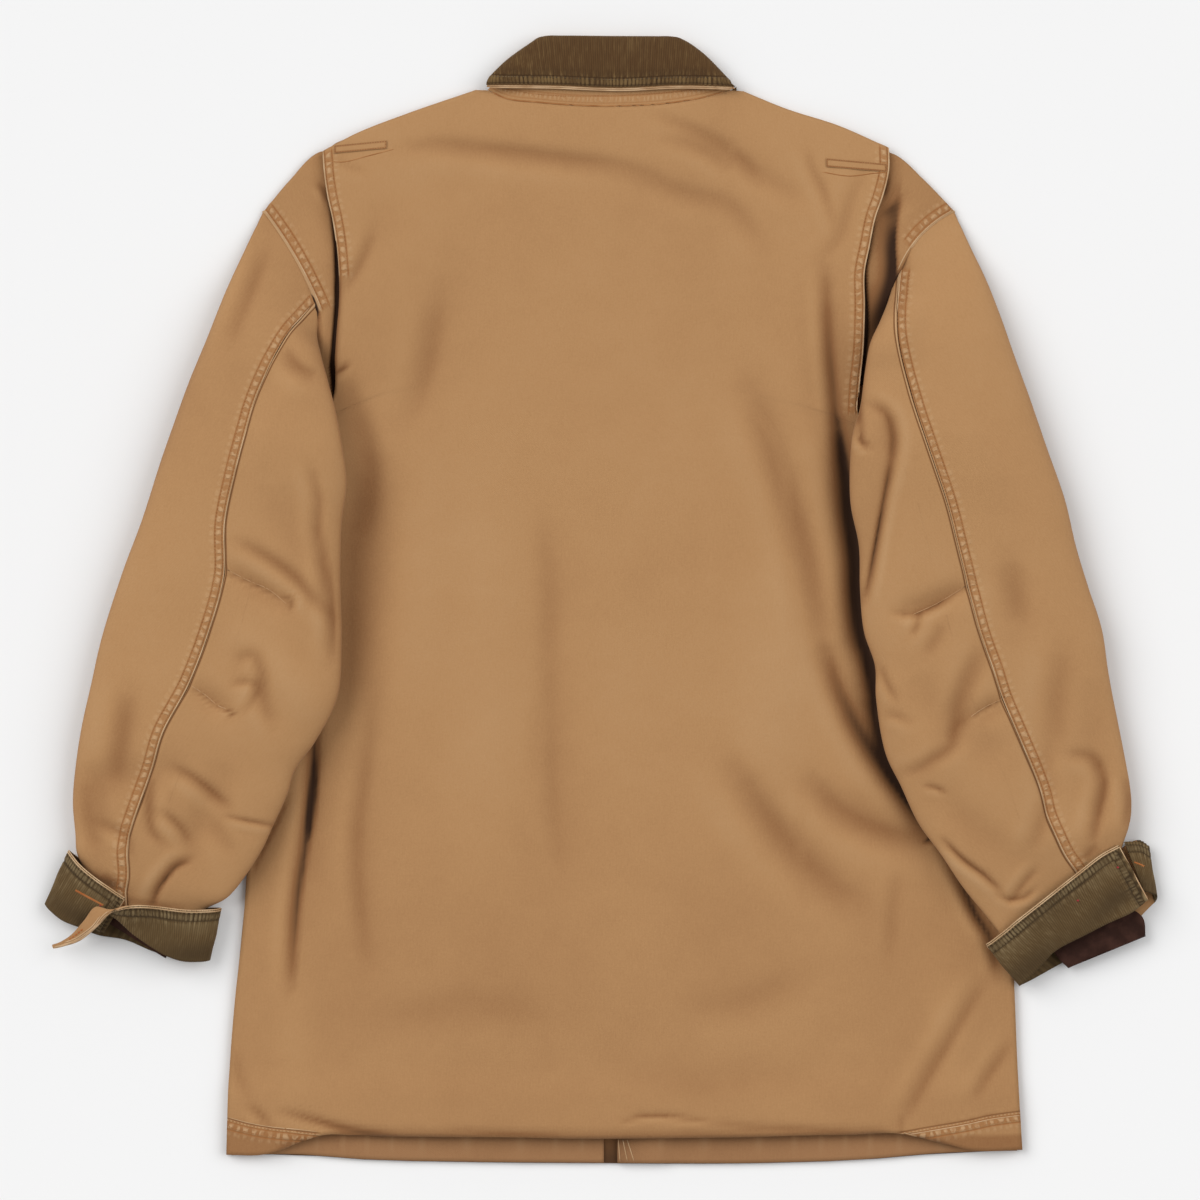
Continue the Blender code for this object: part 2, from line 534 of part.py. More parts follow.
def make_collar_front(name, sign, collection):
    """End of the collar on a front, flat between neckline and opening."""
    outer = front_neck_points(1)[1:]
    inner = along(COLLAR_END, np.linspace(0.0, 1.0, len(outer)))
    v = np.linspace(COLLAR_GAP_SHARE, 1, 4)[:, None, None]
    plan = outer[None] * (1 - v) + inner[None] * v
    plan = plan - np.array([COLLAR_MIDDLE_GAP, 0.0])
    plan = np.stack((MIDDLE_X + sign * (plan[..., 0] - MIDDLE_X), plan[..., 1]), axis=-1)
    grid = raised(plan, np.zeros(plan.shape[:2]))
    return cloth(name, grid, CORDUROY, up(grid), collection)


def make_tab(name, corners, collection):
    """Narrow stitched strip lying on the back near the shoulder."""
    p = np.asarray(corners, float)
    u = np.linspace(0, 1, 9)[:, None]
    plan = patch(p[0] + u * (p[1] - p[0]), [p[3], p[2]], [p[0], (p[0] + p[3]) / 2, p[3]], [p[1], p[2]])
    x, y = plan[..., 0], plan[..., 1]
    grid = raised(plan, back_height(x, y) + WALL + CONTACT)
    return cloth(name, grid, CANVAS, up(grid), collection, wall=1.2)


def sleeve_section(row, angle):
    """Inner-side points of one station at angles round it: 0 outer edge, pi/2 top, pi inner edge.

    Across: -cos(angle) over the half-width. Height: between the underside, which follows what the
    sleeve lies on, and the top, by |sin| to a power, flatter below than above.
    """
    ox, oy, ix, iy, seam, loft, lift, free, bow = row
    axis = np.array([ix - ox, iy - oy])
    half = 0.5 * np.linalg.norm(axis)
    direction = axis / (2 * half)
    side = np.array([-direction[1], direction[0]])
    side = side * np.sign(side[1] if abs(side[1]) > 0.01 else 1.0)
    across = -np.cos(angle) * (half - WALL)
    centre = np.array([(ox + ix) / 2, (oy + iy) / 2])
    plan = centre + across[:, None] * direction + (bow * (1 - (across / half)**2))[:, None] * side
    x, y = plan[:, 0], plan[:, 1]
    ground = floor_height(x, y) * free
    low = WALL + lift + ground
    folds = relief(x, y, SLEEVE_FOLDS) * free
    own_top = WALL + lift + loft + 0.6 * ground + folds
    high = (1 - free) * rest_height(x, y) + free * own_top
    high = np.maximum(high, low + 0.4)
    middle = low + 0.42 * (high - low)
    rise = np.sin(angle)
    z = np.where(rise >= 0, middle + (high - middle) * np.abs(rise)**0.75,
                 middle - (middle - low) * np.abs(rise)**0.35)
    return np.column_stack((plan, z))


def make_sleeve(side_name, table, stations, collection):
    """Two panels round the sleeve, split at the back seam on top and the front seam below."""
    rows = along(table, np.linspace(0, 1, stations), by_row=True)
    panels = {"sleeve_outer_" + side_name: (-1, 10), "sleeve_inner_" + side_name: (1, 10)}
    for name, (turn, columns) in panels.items():
        grid, heart = [], []
        for row in rows:
            width = 0.5 * np.hypot(row[2] - row[0], row[3] - row[1])
            crack = 0.5 * (GAP + 0.1) / width
            top = np.arccos(np.clip(1 - 2 * row[4], -1, 1))
            below = 1.5 * np.pi + FRONT_SEAM
            if turn < 0:
                angle = np.linspace(top - crack, below - 2 * np.pi + crack, columns)
            else:
                angle = np.linspace(top + crack, below - crack, columns)
            section = sleeve_section(row, angle)
            grid.append(section)
            centre = sleeve_section(row, np.array([0.5 * np.pi, 1.5 * np.pi])).mean(axis=0)
            heart.append(np.broadcast_to(centre, section.shape))
        grid, heart = np.array(grid), np.array(heart)
        cloth(name, grid, CANVAS, grid - heart, collection)


def make_cuff(name, table, columns, collection):
    """Strip between its upper and lower edge, wound round the sleeve's end and open at the vent."""
    rows = along(table, np.linspace(0, 1, columns), by_row=True)
    v = np.linspace(0, 1, 5)[:, None, None]
    upper, lower = rows[:, :3], rows[:, 3:]
    grid = upper[None] * (1 - v) + lower[None] * v
    grid[..., 2] += CUFF_LIFT + floor_height(grid[..., 0], grid[..., 1]) * smooth(inside_distance(
        grid[..., 0], grid[..., 1]), -RAMP - 1, -RAMP)
    tangent = np.gradient(upper, axis=0)
    across = lower - upper
    outward = np.cross(across, tangent)
    heading = np.sign(outward[2:5, 2].sum())
    outward = np.broadcast_to(outward * heading, grid.shape)
    cloth(name, grid, CORDUROY, outward, collection)


def make_inner_cuff(name, table, collection):
    """Flattened tube of thin cloth inside the cuff, slit along its underside."""
    rows = along(table, np.linspace(0, 1, 7), by_row=True)
    angle = np.linspace(-0.5 * np.pi + 0.03, 1.5 * np.pi - 0.03, 25)
    grid, heart = [], []
    for ox, oy, ix, iy, low, high in rows:
        across = -np.cos(angle)[:, None]
        plan = np.array([(ox + ix) / 2, (oy + iy) / 2]) + across * np.array([ix - ox, iy - oy]) / 2
        rise = np.sin(angle)
        z = (low + high) / 2 + (high - low) / 2 * np.sign(rise) * np.abs(rise)**0.6
        section = np.column_stack((plan, z))
        grid.append(section)
        heart.append(np.broadcast_to(section.mean(axis=0), section.shape))
    grid, heart = np.array(grid), np.array(heart)
    cloth(name, grid, INNER_BROWN, grid - heart, collection, wall=1.0)


def build():
    for obj in list(bpy.data.objects):
        bpy.data.objects.remove(obj, do_unlink=True)
    coat = bpy.data.collections.new("barn_coat")
    bpy.context.scene.collection.children.link(coat)

    make_back(coat)
    make_gusset("pleat_gusset_left", PLEAT_LEFT, SLEEVE_LEFT, ARMPIT_LEFT, coat)
    make_gusset("pleat_gusset_right", PLEAT_RIGHT, SLEEVE_RIGHT, ARMPIT_RIGHT, coat)
    make_neck_strip(coat)
    make_collar(coat)
    make_collar_front("collar_front_left", 1, coat)
    make_collar_front("collar_front_right", -1, coat)
    make_tab("shoulder_tab_left", TAB_LEFT, coat)
    make_tab("shoulder_tab_right", TAB_RIGHT, coat)

    upper_edge, lower_edge = CENTRE_LAP
    make_front("front_left", TORSO_EDGE_LEFT, ARMPIT_LEFT, SHOULDER_LEFT, SLEEVE_LEFT,
               lower_edge, 1, coat)
    make_front("front_right", TORSO_EDGE_RIGHT, ARMPIT_RIGHT, SHOULDER_RIGHT, SLEEVE_RIGHT,
               upper_edge, -1, coat)
    on_front = WALL + GAP
    make_front_hem("front_hem_left", np.linspace(-299, 3, 13), lambda x: np.full(x.shape, on_front), coat)
    xs = np.concatenate(([upper_edge + 0.5, LAP_RAMP[0]], np.linspace(LAP_RAMP[1], 338, 12)))
    make_front_hem("front_hem_right", xs,
                   lambda x: on_front + on_front * (1 - smooth(x, *LAP_RAMP)), coat)

    make_sleeve("left", SLEEVE_LEFT, 25, coat)
    make_sleeve("right", SLEEVE_RIGHT, 27, coat)
    make_cuff("cuff_left", CUFF_LEFT, 53, coat)
    make_cuff("cuff_right", CUFF_RIGHT, 43, coat)
    make_inner_cuff("inner_cuff_left", INNER_CUFF_LEFT, coat)
    make_inner_cuff("inner_cuff_right", INNER_CUFF_RIGHT, coat)


build()
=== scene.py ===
"""Looks of a barn coat laid face down on a pale floor, seen from its back.

Tables are in millimetres in the part's own frame, before CENTRING; meshes are scaled to metres.
"""

import bpy
import numpy as np
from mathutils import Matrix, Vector
from mathutils.bvhtree import BVHTree


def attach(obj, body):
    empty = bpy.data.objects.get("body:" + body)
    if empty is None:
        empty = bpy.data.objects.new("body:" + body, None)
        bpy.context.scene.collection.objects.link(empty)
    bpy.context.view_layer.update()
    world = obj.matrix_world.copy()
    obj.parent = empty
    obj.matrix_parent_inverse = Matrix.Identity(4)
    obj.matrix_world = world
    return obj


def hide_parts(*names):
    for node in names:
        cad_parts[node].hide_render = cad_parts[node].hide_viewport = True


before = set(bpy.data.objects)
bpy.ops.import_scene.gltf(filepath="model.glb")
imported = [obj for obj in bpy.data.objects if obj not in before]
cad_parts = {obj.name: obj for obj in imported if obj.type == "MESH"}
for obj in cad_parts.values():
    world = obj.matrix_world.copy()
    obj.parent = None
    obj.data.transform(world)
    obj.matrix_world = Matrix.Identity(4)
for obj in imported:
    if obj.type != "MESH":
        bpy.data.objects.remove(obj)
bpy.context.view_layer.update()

MM = 0.001
WALL = 2.0            # thickness of the doubled canvas
GAP = 0.3             # distance between pieces at a seam
CENTRING = np.array([-0.235, -1.02, 0.02])   # brings the whole coat's bounds to the origin

# Loft of the torso: height of the back's inner side above the fronts, along the length (y, loft).
TORSO_LOFT = [(-460, 10), (-380, 13), (-250, 16), (0, 18), (200, 16), (330, 11), (420, 8), (470, 8)]
SIDE_SOFTNESS = 90.0      # distance over which the loft grows from a side edge
TOP_SOFTNESS = 40.0       # the same from the shoulder line
HEM_BAND_TOP = -405.0     # upper edge of the fronts' turned-up hem
HEM_BLEND = 30.0          # run over which the back comes down past that edge
ARMHOLE_RISE = 8.0        # how far the armhole's mouth stands open
ARMHOLE_REACH = 60.0      # how far inwards that opening is felt
PLEAT_LIFT = 5.0          # how far the back's pleat edge stands over the gusset
PLEAT_REACH = 70.0        # how far inwards that lift is felt
SHOULDER_LIFT = 3.4       # the same where the pleat starts, at the shoulder
RAMP = 40.0               # run over which a sleeve comes down from the torso to the surface
SLEEVE_CLEAR = 3.0        # air between a sleeve and the torso that it lies on
ARMHOLE_GAP = 1.0         # the sleeves' and the body's edges meet at an angle here

# Edges of the back, seen from above (x, y), from shoulder to hem.
SHOULDER_LEFT = [(-273, 314), (-252, 340), (-228, 363), (-199, 377), (-156, 394), (-101, 413)]
SHOULDER_RIGHT = [(287, 314), (262, 341), (239, 361), (193, 384), (150, 398), (116, 412)]
NECK_LOWER = [(-91, 413), (-77, 406.5), (-50, 403), (14, 400), (60, 403), (81, 406.5), (105, 413)]
NECK_UPPER = [(-88, 416.5), (-41, 415), (16, 413), (65, 414.5), (104, 416.5)]
PLEAT_LEFT = [(-225, 363), (-224, 349), (-221, 327), (-217, 310), (-216, 291), (-212, 266),
              (-213, 238), (-216, 210), (-216, 184), (-216, 165)]
PLEAT_RIGHT = [(234, 366), (234, 349), (229, 327), (223, 310), (218, 286), (214, 266),
               (214, 238), (213, 202), (210, 171), (209, 151)]
SIDE_LEFT = [(-222, 150), (-244, 138), (-264, 122), (-272, 104), (-276, 0), (-280, -114),
             (-287, -228), (-289, -260), (-296, -324), (-301, -389), (-303, -450)]
SIDE_RIGHT = [(222, 138), (250, 128), (280, 116), (298, 98), (312, 0), (324, -114),
              (332, -228), (336, -324), (339, -396), (342, -446)]
HEM_BACK = [(-303, -450), (-272, -449.5), (-262, -447), (-238, -437.5), (-227, -434), (-200, -434),
            (2, -436), (200, -433), (238, -432), (250, -433.5), (286, -442.5), (298, -445.5), (342, -446)]
HEM_FRONT = [(-303, -451), (-249, -450), (-193, -454), (-114, -456), (3, -457),
             (129, -457), (216, -454), (277, -449), (342, -447)]
# Under the sleeves the torso ends here (x, y), from the armpit down to the side seam.
ARMPIT_LEFT = [(-227, 235), (-225, 205), (-231, 182), (-247, 162), (-263, 137), (-272, 104)]
ARMPIT_RIGHT = [(242, 266), (233, 243), (227, 210), (229, 186), (250, 160), (277, 134), (298, 98)]
GUSSET_UNDERLAP = 28.0    # how far the gusset runs on below the back's pleat edge
GUSSET_END = 150.0        # y of the gusset's lower edge
UNDERLAP_DROP = 1.8       # how far the hidden part of the gusset sinks below the back
CENTRE_LAP = (13.5, 36.0)     # x of the upper and of the lower front's edge
LAP_RAMP = (46.0, 60.0)       # the upper front comes down to the surface between these
NECKLINE = [(-91, 412), (-79, 385), (-52, 360), (-18, 346), (12.5, 342)]
COLLAR_END = [(-85, 416), (-62, 400), (-36, 388), (-10, 381), (12.5, 379)]
MIDDLE_X = 12.5           # the coat's middle line
COLLAR_GAP_SHARE = 0.12   # share of the collar end's depth left between it and the neckline
COLLAR_MIDDLE_GAP = 0.5   # half the distance between the collar's two ends
CUFF_LIFT = 0.13          # keeps the cuffs' undersides off the surface's own level
STAND_SHORT = 0.07        # share of the collar's depth between the stand's end and the fall's edge

# Main folds seen from above: start, middle, end of a curve, half-width, height (negative sinks).
TORSO_FOLDS = [
    # x0   y0    x1   y1    x2   y2   width height
    (-130, 367, 32, 348, 132, 288, 16, -2.0),
    (61, 377, 105, 360, 167, 323, 13, -2.0),
    (-118, 272, -134, 218, -150, 162, 18, -2.0),
    (-169, 324, -189, 289, -208, 252, 15, -2.0),
    (184, 252, 197, 97, 218, -73, 18, -6.0),
    (218, -73, 231, -130, 275, -195, 16, -4.5),
    (124, 170, 168, 39, 180, -34, 20, -3.0),
    (180, -34, 202, -81, 227, -143, 18, -3.5),
    (-46, 66, -41, -73, -29, -226, 17, -2.5),
    (-182, 125, -199, 24, -207, -81, 26, -4.5),
    (-229, -114, -231, -165, -243, -260, 15, -4.0),
    (-199, -114, -195, -211, -192, -318, 18, -3.0),
    (113, -142, 149, -192, 200, -230, 15, -3.5),
    (174, -149, 227, -182, 268, -194, 14, -3.5),
    (150, 60, 150, -60, 120, -180, 30, 3.0),
    (-90, 90, -95, -60, -100, -230, 34, 2.5),
    (-260, -300, -240, -360, -250, -420, 18, 2.5),
    (270, -300, 285, -350, 290, -410, 18, 2.5),
]
SLEEVE_FOLDS = [
    (-303, 26, -274, 8, -249, -8, 9, -6.0),
    (-331, -69, -314, -81, -301, -92, 9, -5.0),
    (-262, 96, -244, 30, -222, 20, 16, -4.0),
    (-300, -20, -262, -50, -230, -100, 16, 4.0),
    (-420, -140, -380, -150, -330, -130, 16, -3.5),
    (-300, -130, -318, -180, -345, -225, 14, -4.0),
    (299, 12, 263, -8, 240, -10, 9, -6.0),
    (325, -81, 312, -91, 299, -96, 9, -5.0),
    (231, 149, 237, 129, 231, 114, 11, -4.0),
    (231, 114, 222, 48, 214, 16, 14, -4.0),
    (250, -60, 285, -110, 330, -130, 16, -4.0),
    (400, -60, 400, -120, 395, -180, 16, -4.0),
    (270, -150, 300, -190, 345, -215, 14, -4.0),
]

# Stations down each sleeve: outer and inner silhouette seen from above, share of the way from outer
# to inner at which the back seam lies, loft inside, lift off the surface, and how far the station has
# left the armhole's own shape, and the bow of the station towards the collar.
SLEEVE_LEFT = [
    # outer x  y   inner x  y    seam  loft  lift  free  bow
    (-273, 315, -227, 235, 0.93, 8, 0.0, 0.00, 3),
    (-291, 277, -230, 214, 0.80, 22, 0.0, 0.40, 2),
    (-304, 248, -226, 196, 0.66, 30, 0.0, 0.85, 0),
    (-319, 210, -220, 175, 0.54, 34, 0.0, 1.00, 0),
    (-333, 176, -213, 148, 0.46, 36, 0.0, 1.00, 0),
    (-347, 137, -208, 121, 0.43, 38, 0.0, 1.00, 0),
    (-357, 108, -205, 93, 0.41, 38, 0.0, 1.00, 0),
    (-371, 64, -209, 60, 0.42, 38, 0.0, 1.00, 0),
    (-387, 21, -210, 16, 0.47, 38, 0.0, 1.00, 0),
    (-403, -29, -209, -33, 0.44, 36, 0.0, 1.00, 0),
    (-412, -68, -212, -77, 0.39, 36, 0.0, 1.00, 0),
    (-420, -104, -229, -112, 0.35, 35, 0.0, 1.00, 0),
    (-425, -137, -246, -136, 0.35, 33, 0.0, 1.00, 0),
    (-427, -164, -253, -157, 0.32, 31, 0.0, 1.00, 0),
    (-425, -190, -264, -181, 0.28, 28, 0.5, 1.00, 0),
    (-424, -204, -276, -206, 0.28, 25, 1.6, 1.00, 0),
    (-419, -216, -299, -238, 0.31, 20, 2.6, 1.00, 0),
    (-415, -232, -321, -251, 0.33, 15, 2.6, 1.00, 0),
    (-412, -247, -328, -268, 0.34, 11, 2.6, 1.00, 0),
]
SLEEVE_RIGHT = [
    (287, 315, 242, 266, 0.96, 8, 0.0, 0.00, 6),
    (300, 286, 234, 241, 0.89, 20, 0.0, 0.40, 4),
    (313, 258, 226, 223, 0.85, 28, 0.0, 0.85, 1),
    (325, 227, 218, 206, 0.80, 32, 0.0, 1.00, 0),
    (335, 198, 214, 184, 0.75, 35, 0.0, 1.00, 0),
    (348, 162, 210, 155, 0.69, 37, 0.0, 1.00, 0),
    (362, 121, 203, 128, 0.62, 38, 0.0, 1.00, 0),
    (376, 81, 202, 81, 0.56, 38, 0.0, 1.00, 0),
    (385, 43, 209, 44, 0.55, 38, 0.0, 1.00, 0),
    (395, 10, 210, 8, 0.53, 37, 0.0, 1.00, 0),
    (406, -24, 213, -25, 0.52, 36, 0.0, 1.00, 0),
    (411, -57, 222, -53, 0.50, 36, 0.0, 1.00, 0),
    (415, -79, 223, -81, 0.47, 35, 0.0, 1.00, 0),
    (423, -119, 230, -122, 0.42, 33, 0.0, 1.00, 0),
    (429, -152, 243, -150, 0.40, 31, 0.0, 1.00, 0),
    (430, -170, 257, -180, 0.40, 29, 0.6, 1.00, 0),
    (428, -183, 275, -205, 0.39, 27, 1.6, 1.00, 0),
    (424, -195, 293, -232, 0.36, 21, 2.6, 1.00, 0),
    (420, -210, 314, -258, 0.30, 15, 2.6, 1.00, 0),
    (424, -227, 330, -279, 0.28, 11, 2.6, 1.00, 0),
    (428, -240, 342, -292, 0.28, 9, 2.6, 1.00, 0),
]
FRONT_SEAM = 0.10         # where the hidden front seam lies on the underside, 0 at the middle

# Turn-back cuffs as strips: upper (piped) edge and lower edge with heights over what lies below.
CUFF_LEFT = [
    # upper x  y    z    lower x  y    z
    (-384, -241, 26, -402, -269, 12),
    (-396, -233, 27, -417, -266, 12),
    (-409, -224, 26, -434, -260, 11),
    (-421, -214, 22, -445, -252, 10),
    (-429, -204, 14, -449, -247, 7),
    (-424, -209, 3.5, -444, -250, 3),
    (-397, -227, 2, -413, -270, 2),
    (-365, -243, 2, -385, -276, 2),
    (-332, -250, 2, -357, -287, 2),
    (-312, -250, 4, -322, -291, 3.5),
    (-309, -250, 12, -318, -292, 10),
    (-317, -251, 20, -325, -293, 16),
    (-336, -251, 25, -340, -292, 20),
    (-360, -248, 28, -357, -285, 22),
    (-376, -247, 34, -375, -272, 26),
    (-387, -248, 38, -391, -257, 28),
    (-397, -253, 35, -407, -248, 28),
    (-408, -264.5, 29, -418, -260, 23),
    (-421, -275, 20, -428, -271, 16),
    (-434, -279.5, 16, -437, -277, 14),
    (-443, -281.5, 15, -444, -279.5, 13.5),
]
CUFF_RIGHT = [
    (419, -199, 22, 443, -243, 19),
    (404, -207, 25, 430, -253, 20),
    (387, -220, 27, 410, -262, 20),
    (369, -234, 27, 391, -272, 20),
    (342, -255, 23, 368, -284, 18),
    (328, -267, 16, 356, -297, 14),
    (317, -276, 9, 343, -310, 8),
    (314, -279, 4, 341, -312, 4),
    (322, -282, 2, 350, -308, 2),
    (344, -270, 2, 376, -294, 2),
    (372, -246, 2, 405, -280, 2),
    (401, -222, 2, 430, -264, 2),
    (421, -203, 2, 445, -250, 2),
    (435, -195, 4, 449, -245, 4),
    (443, -200, 9, 449, -240, 8.5),
    (435, -196, 14, 446, -238, 13),
    (424, -196, 16, 440, -236, 15),
]
# Inner cuffs: outer x, y, inner x, y, lowest and highest level.
INNER_CUFF_LEFT = [(-402, -234, -338, -254, 6.0, 13.0), (-401, -252, -346, -278, 6.0, 12.5),
                   (-398, -262, -353, -290, 6.0, 11.5)]
INNER_CUFF_RIGHT = [(411, -229, 360, -264, 7.4, 11.5), (418, -244, 364, -277, 6.6, 11.5),
                    (438, -257, 371, -289, 5.6, 11.5), (441, -273, 380, -298, 5.0, 11.5)]

# Collar seen from above: free edge of the fall and its fold.
COLLAR_FREE = [(-92, 416.5), (-41, 416), (16, 414), (65, 416), (109, 415)]
COLLAR_FOLD = [(-89, 423), (-77, 435), (-54.5, 451.7), (-50, 454.8), (-45, 456.2), (8, 456.5),
               (58, 456.2), (63, 455.2), (68, 452.6), (81, 443.6), (95, 430), (103, 421)]
# Section of the fall, from its hidden edge round the fold to the free edge: share, height.
FALL_SECTION = [(0.75, 5.8), (0.86, 5.6), (0.95, 6.2), (0.985, 8.2), (0.95, 10.8), (0.80, 12.6),
                (0.50, 13.6), (0.25, 13.2), (0.0, 12.0)]
TAB_LEFT = [(-215.5, 368), (-173, 372), (-173, 365.5), (-215.5, 361.5)]
TAB_RIGHT = [(183, 357.5), (232, 353), (232, 346.5), (183, 350.5)]

# Seam lines as they lie, seen from above, and the side on which their stitched band is: 1 to the left
# of the line's run, -1 to the right.
HEM_ROW_LEFT = [(-302, -421.5), (-290.2, -424.8), (-269.9, -428.8), (-244.8, -431.2), (-229.4, -432.9)]
HEM_ROW_RIGHT = [(340, -415.9), (315.7, -419.1), (297.1, -423.1), (268.7, -428), (244.4, -432.1)]
NECK_ROW = [(-90.9, 414.4), (-77.2, 407.9), (-50.4, 403.9), (14.4, 400.6), (59.7, 403.9), (80.8, 407.9),
            (105.1, 414.4)]
BAND = 7.3               # width of a seam's stitched band
ROWS = (1.5, 7.3)        # distances of its two stitch rows from the seam's edge
STITCH = 3.0             # pitch of the sewing
RIB = 1.8                # pitch of the corduroy's ribs
NECK_SEAM = [(-84.4, 415.2), (-50.4, 409.5), (7.1, 408.3), (63, 411.6), (98.6, 415.2)]
COLLAR_ROW = 7.0         # distance of the collar's stitch row from its free edge
CUFF_ROWS = (3.2, 9.0)   # distances of the cuffs' stitch rows from their upper edge
ARMPIT_CLOTH = 7.0       # how far a gusset goes on under the sleeve at the armpit
UNDERARM = 46.0          # how much further it goes below the armhole itself
# How many points of the armhole's line show its band, by the side it bends to: all on the left, and
# on the right as far as the hollow, where the band is lost.
ARMHOLE_SEWN = {1: None, -1: 5}
# Widths of the hollows beside the pleats' edges, sunk and darkened with painted shade: (y, width).
HOLLOW_LEFT = [(160, 1.0), (168, 2.2), (190, 5.6), (204, 4.8), (224, 4.4), (252, 4.8), (286, 3.2), (308, 1.8),
               (331, 0.6), (337, -1.5)]
HOLLOW_RIGHT = [(150, 3.6), (195, 3.8), (218, 4.4), (250, 2.6), (277, 1.6), (300, 0.6), (312, -1.5)]
# The left pleat's edge as it lies, drawn a little back from the gusset.
PLEAT_SHOWN_LEFT = [(-225, 363), (-224, 349), (-221, 327), (-216.8, 308), (-213.6, 288), (-211.6, 262),
                    (-211.5, 240), (-213.2, 218), (-214.6, 197), (-216, 165)]
COLLAR_TOP = [(-89, 423), (-77, 435), (-54.5, 451.7), (-50, 454.8), (-45, 456), (-30, 456.4), (-10, 456.3),
              (8, 456.1), (30, 456), (45, 455.9), (58, 455.7), (63, 454.9), (68, 452.6), (81, 443.6),
              (95, 430), (103, 421)]
GATHER = 3.1             # pitch of the gathers along corduroy edges
CORD_WALL = 0.8          # thickness of the cuffs' corduroy and of the undercollar
HEM_WALL = 1.4           # thickness of the fronts' hem bands
TAB_WALL = 0.7           # thickness of the shoulder tabs
COLLAR_WALL = 1.1        # thickness of the collar's corduroy
LINING_WALL = 1.0        # thickness of the inner cuffs
TURN_WALL = 0.6          # thickness of the cloth turned in at the cuffs
RIB_HEIGHT = 0.25        # height of the corduroy's ribs
DEEPEST = -2.4           # lowest tone: the near-black painted shadow of a closed fold
SLEEVE_GRID = (220, 72)  # stations down a sleeve's piece and points across it
CUFF_COLUMNS = 300       # points along a cuff's inner side
TAB_EDGE = [(-395.9, -252.8), (-399.0, -254.9), (-402.1, -258.0), (-405.2, -262.1), (-408.3, -266.0),
            (-412.4, -269.3), (-416.5, -272.4), (-421.7, -275.9), (-426.9, -278.4), (-432.0, -280.2),
            (-437.2, -281.5), (-441.8, -282.1), (-443.6, -280.7)]
FACING_RIBS = [[(14.6, -437.5), (16, -455.5)], [(18.2, -437.5), (22, -455.3)], [(21.8, -437.8), (27.3, -455)]]
DARTS_LEFT = [[(-303.9, 25.6), (-282, 14.5), (-268.3, 8.6), (-252.1, -4.4)],
              [(-330.7, -69.2), (-319, -77), (-308, -86), (-299.9, -88.6)]]
DARTS_RIGHT = [[(297.1, 12.6), (287, 6), (268, -5), (250.9, -12.5)],
               [(323.8, -80.5), (312, -86), (297.1, -95.9)]]
TAB_UNDER_LEFT = [(-224.6, 356.1), (-210, 354.5), (-188.9, 359.3), (-167.1, 365)]
TAB_UNDER_RIGHT = [(179.6, 346.4), (201.5, 343.1), (223.4, 345.5), (232, 346)]
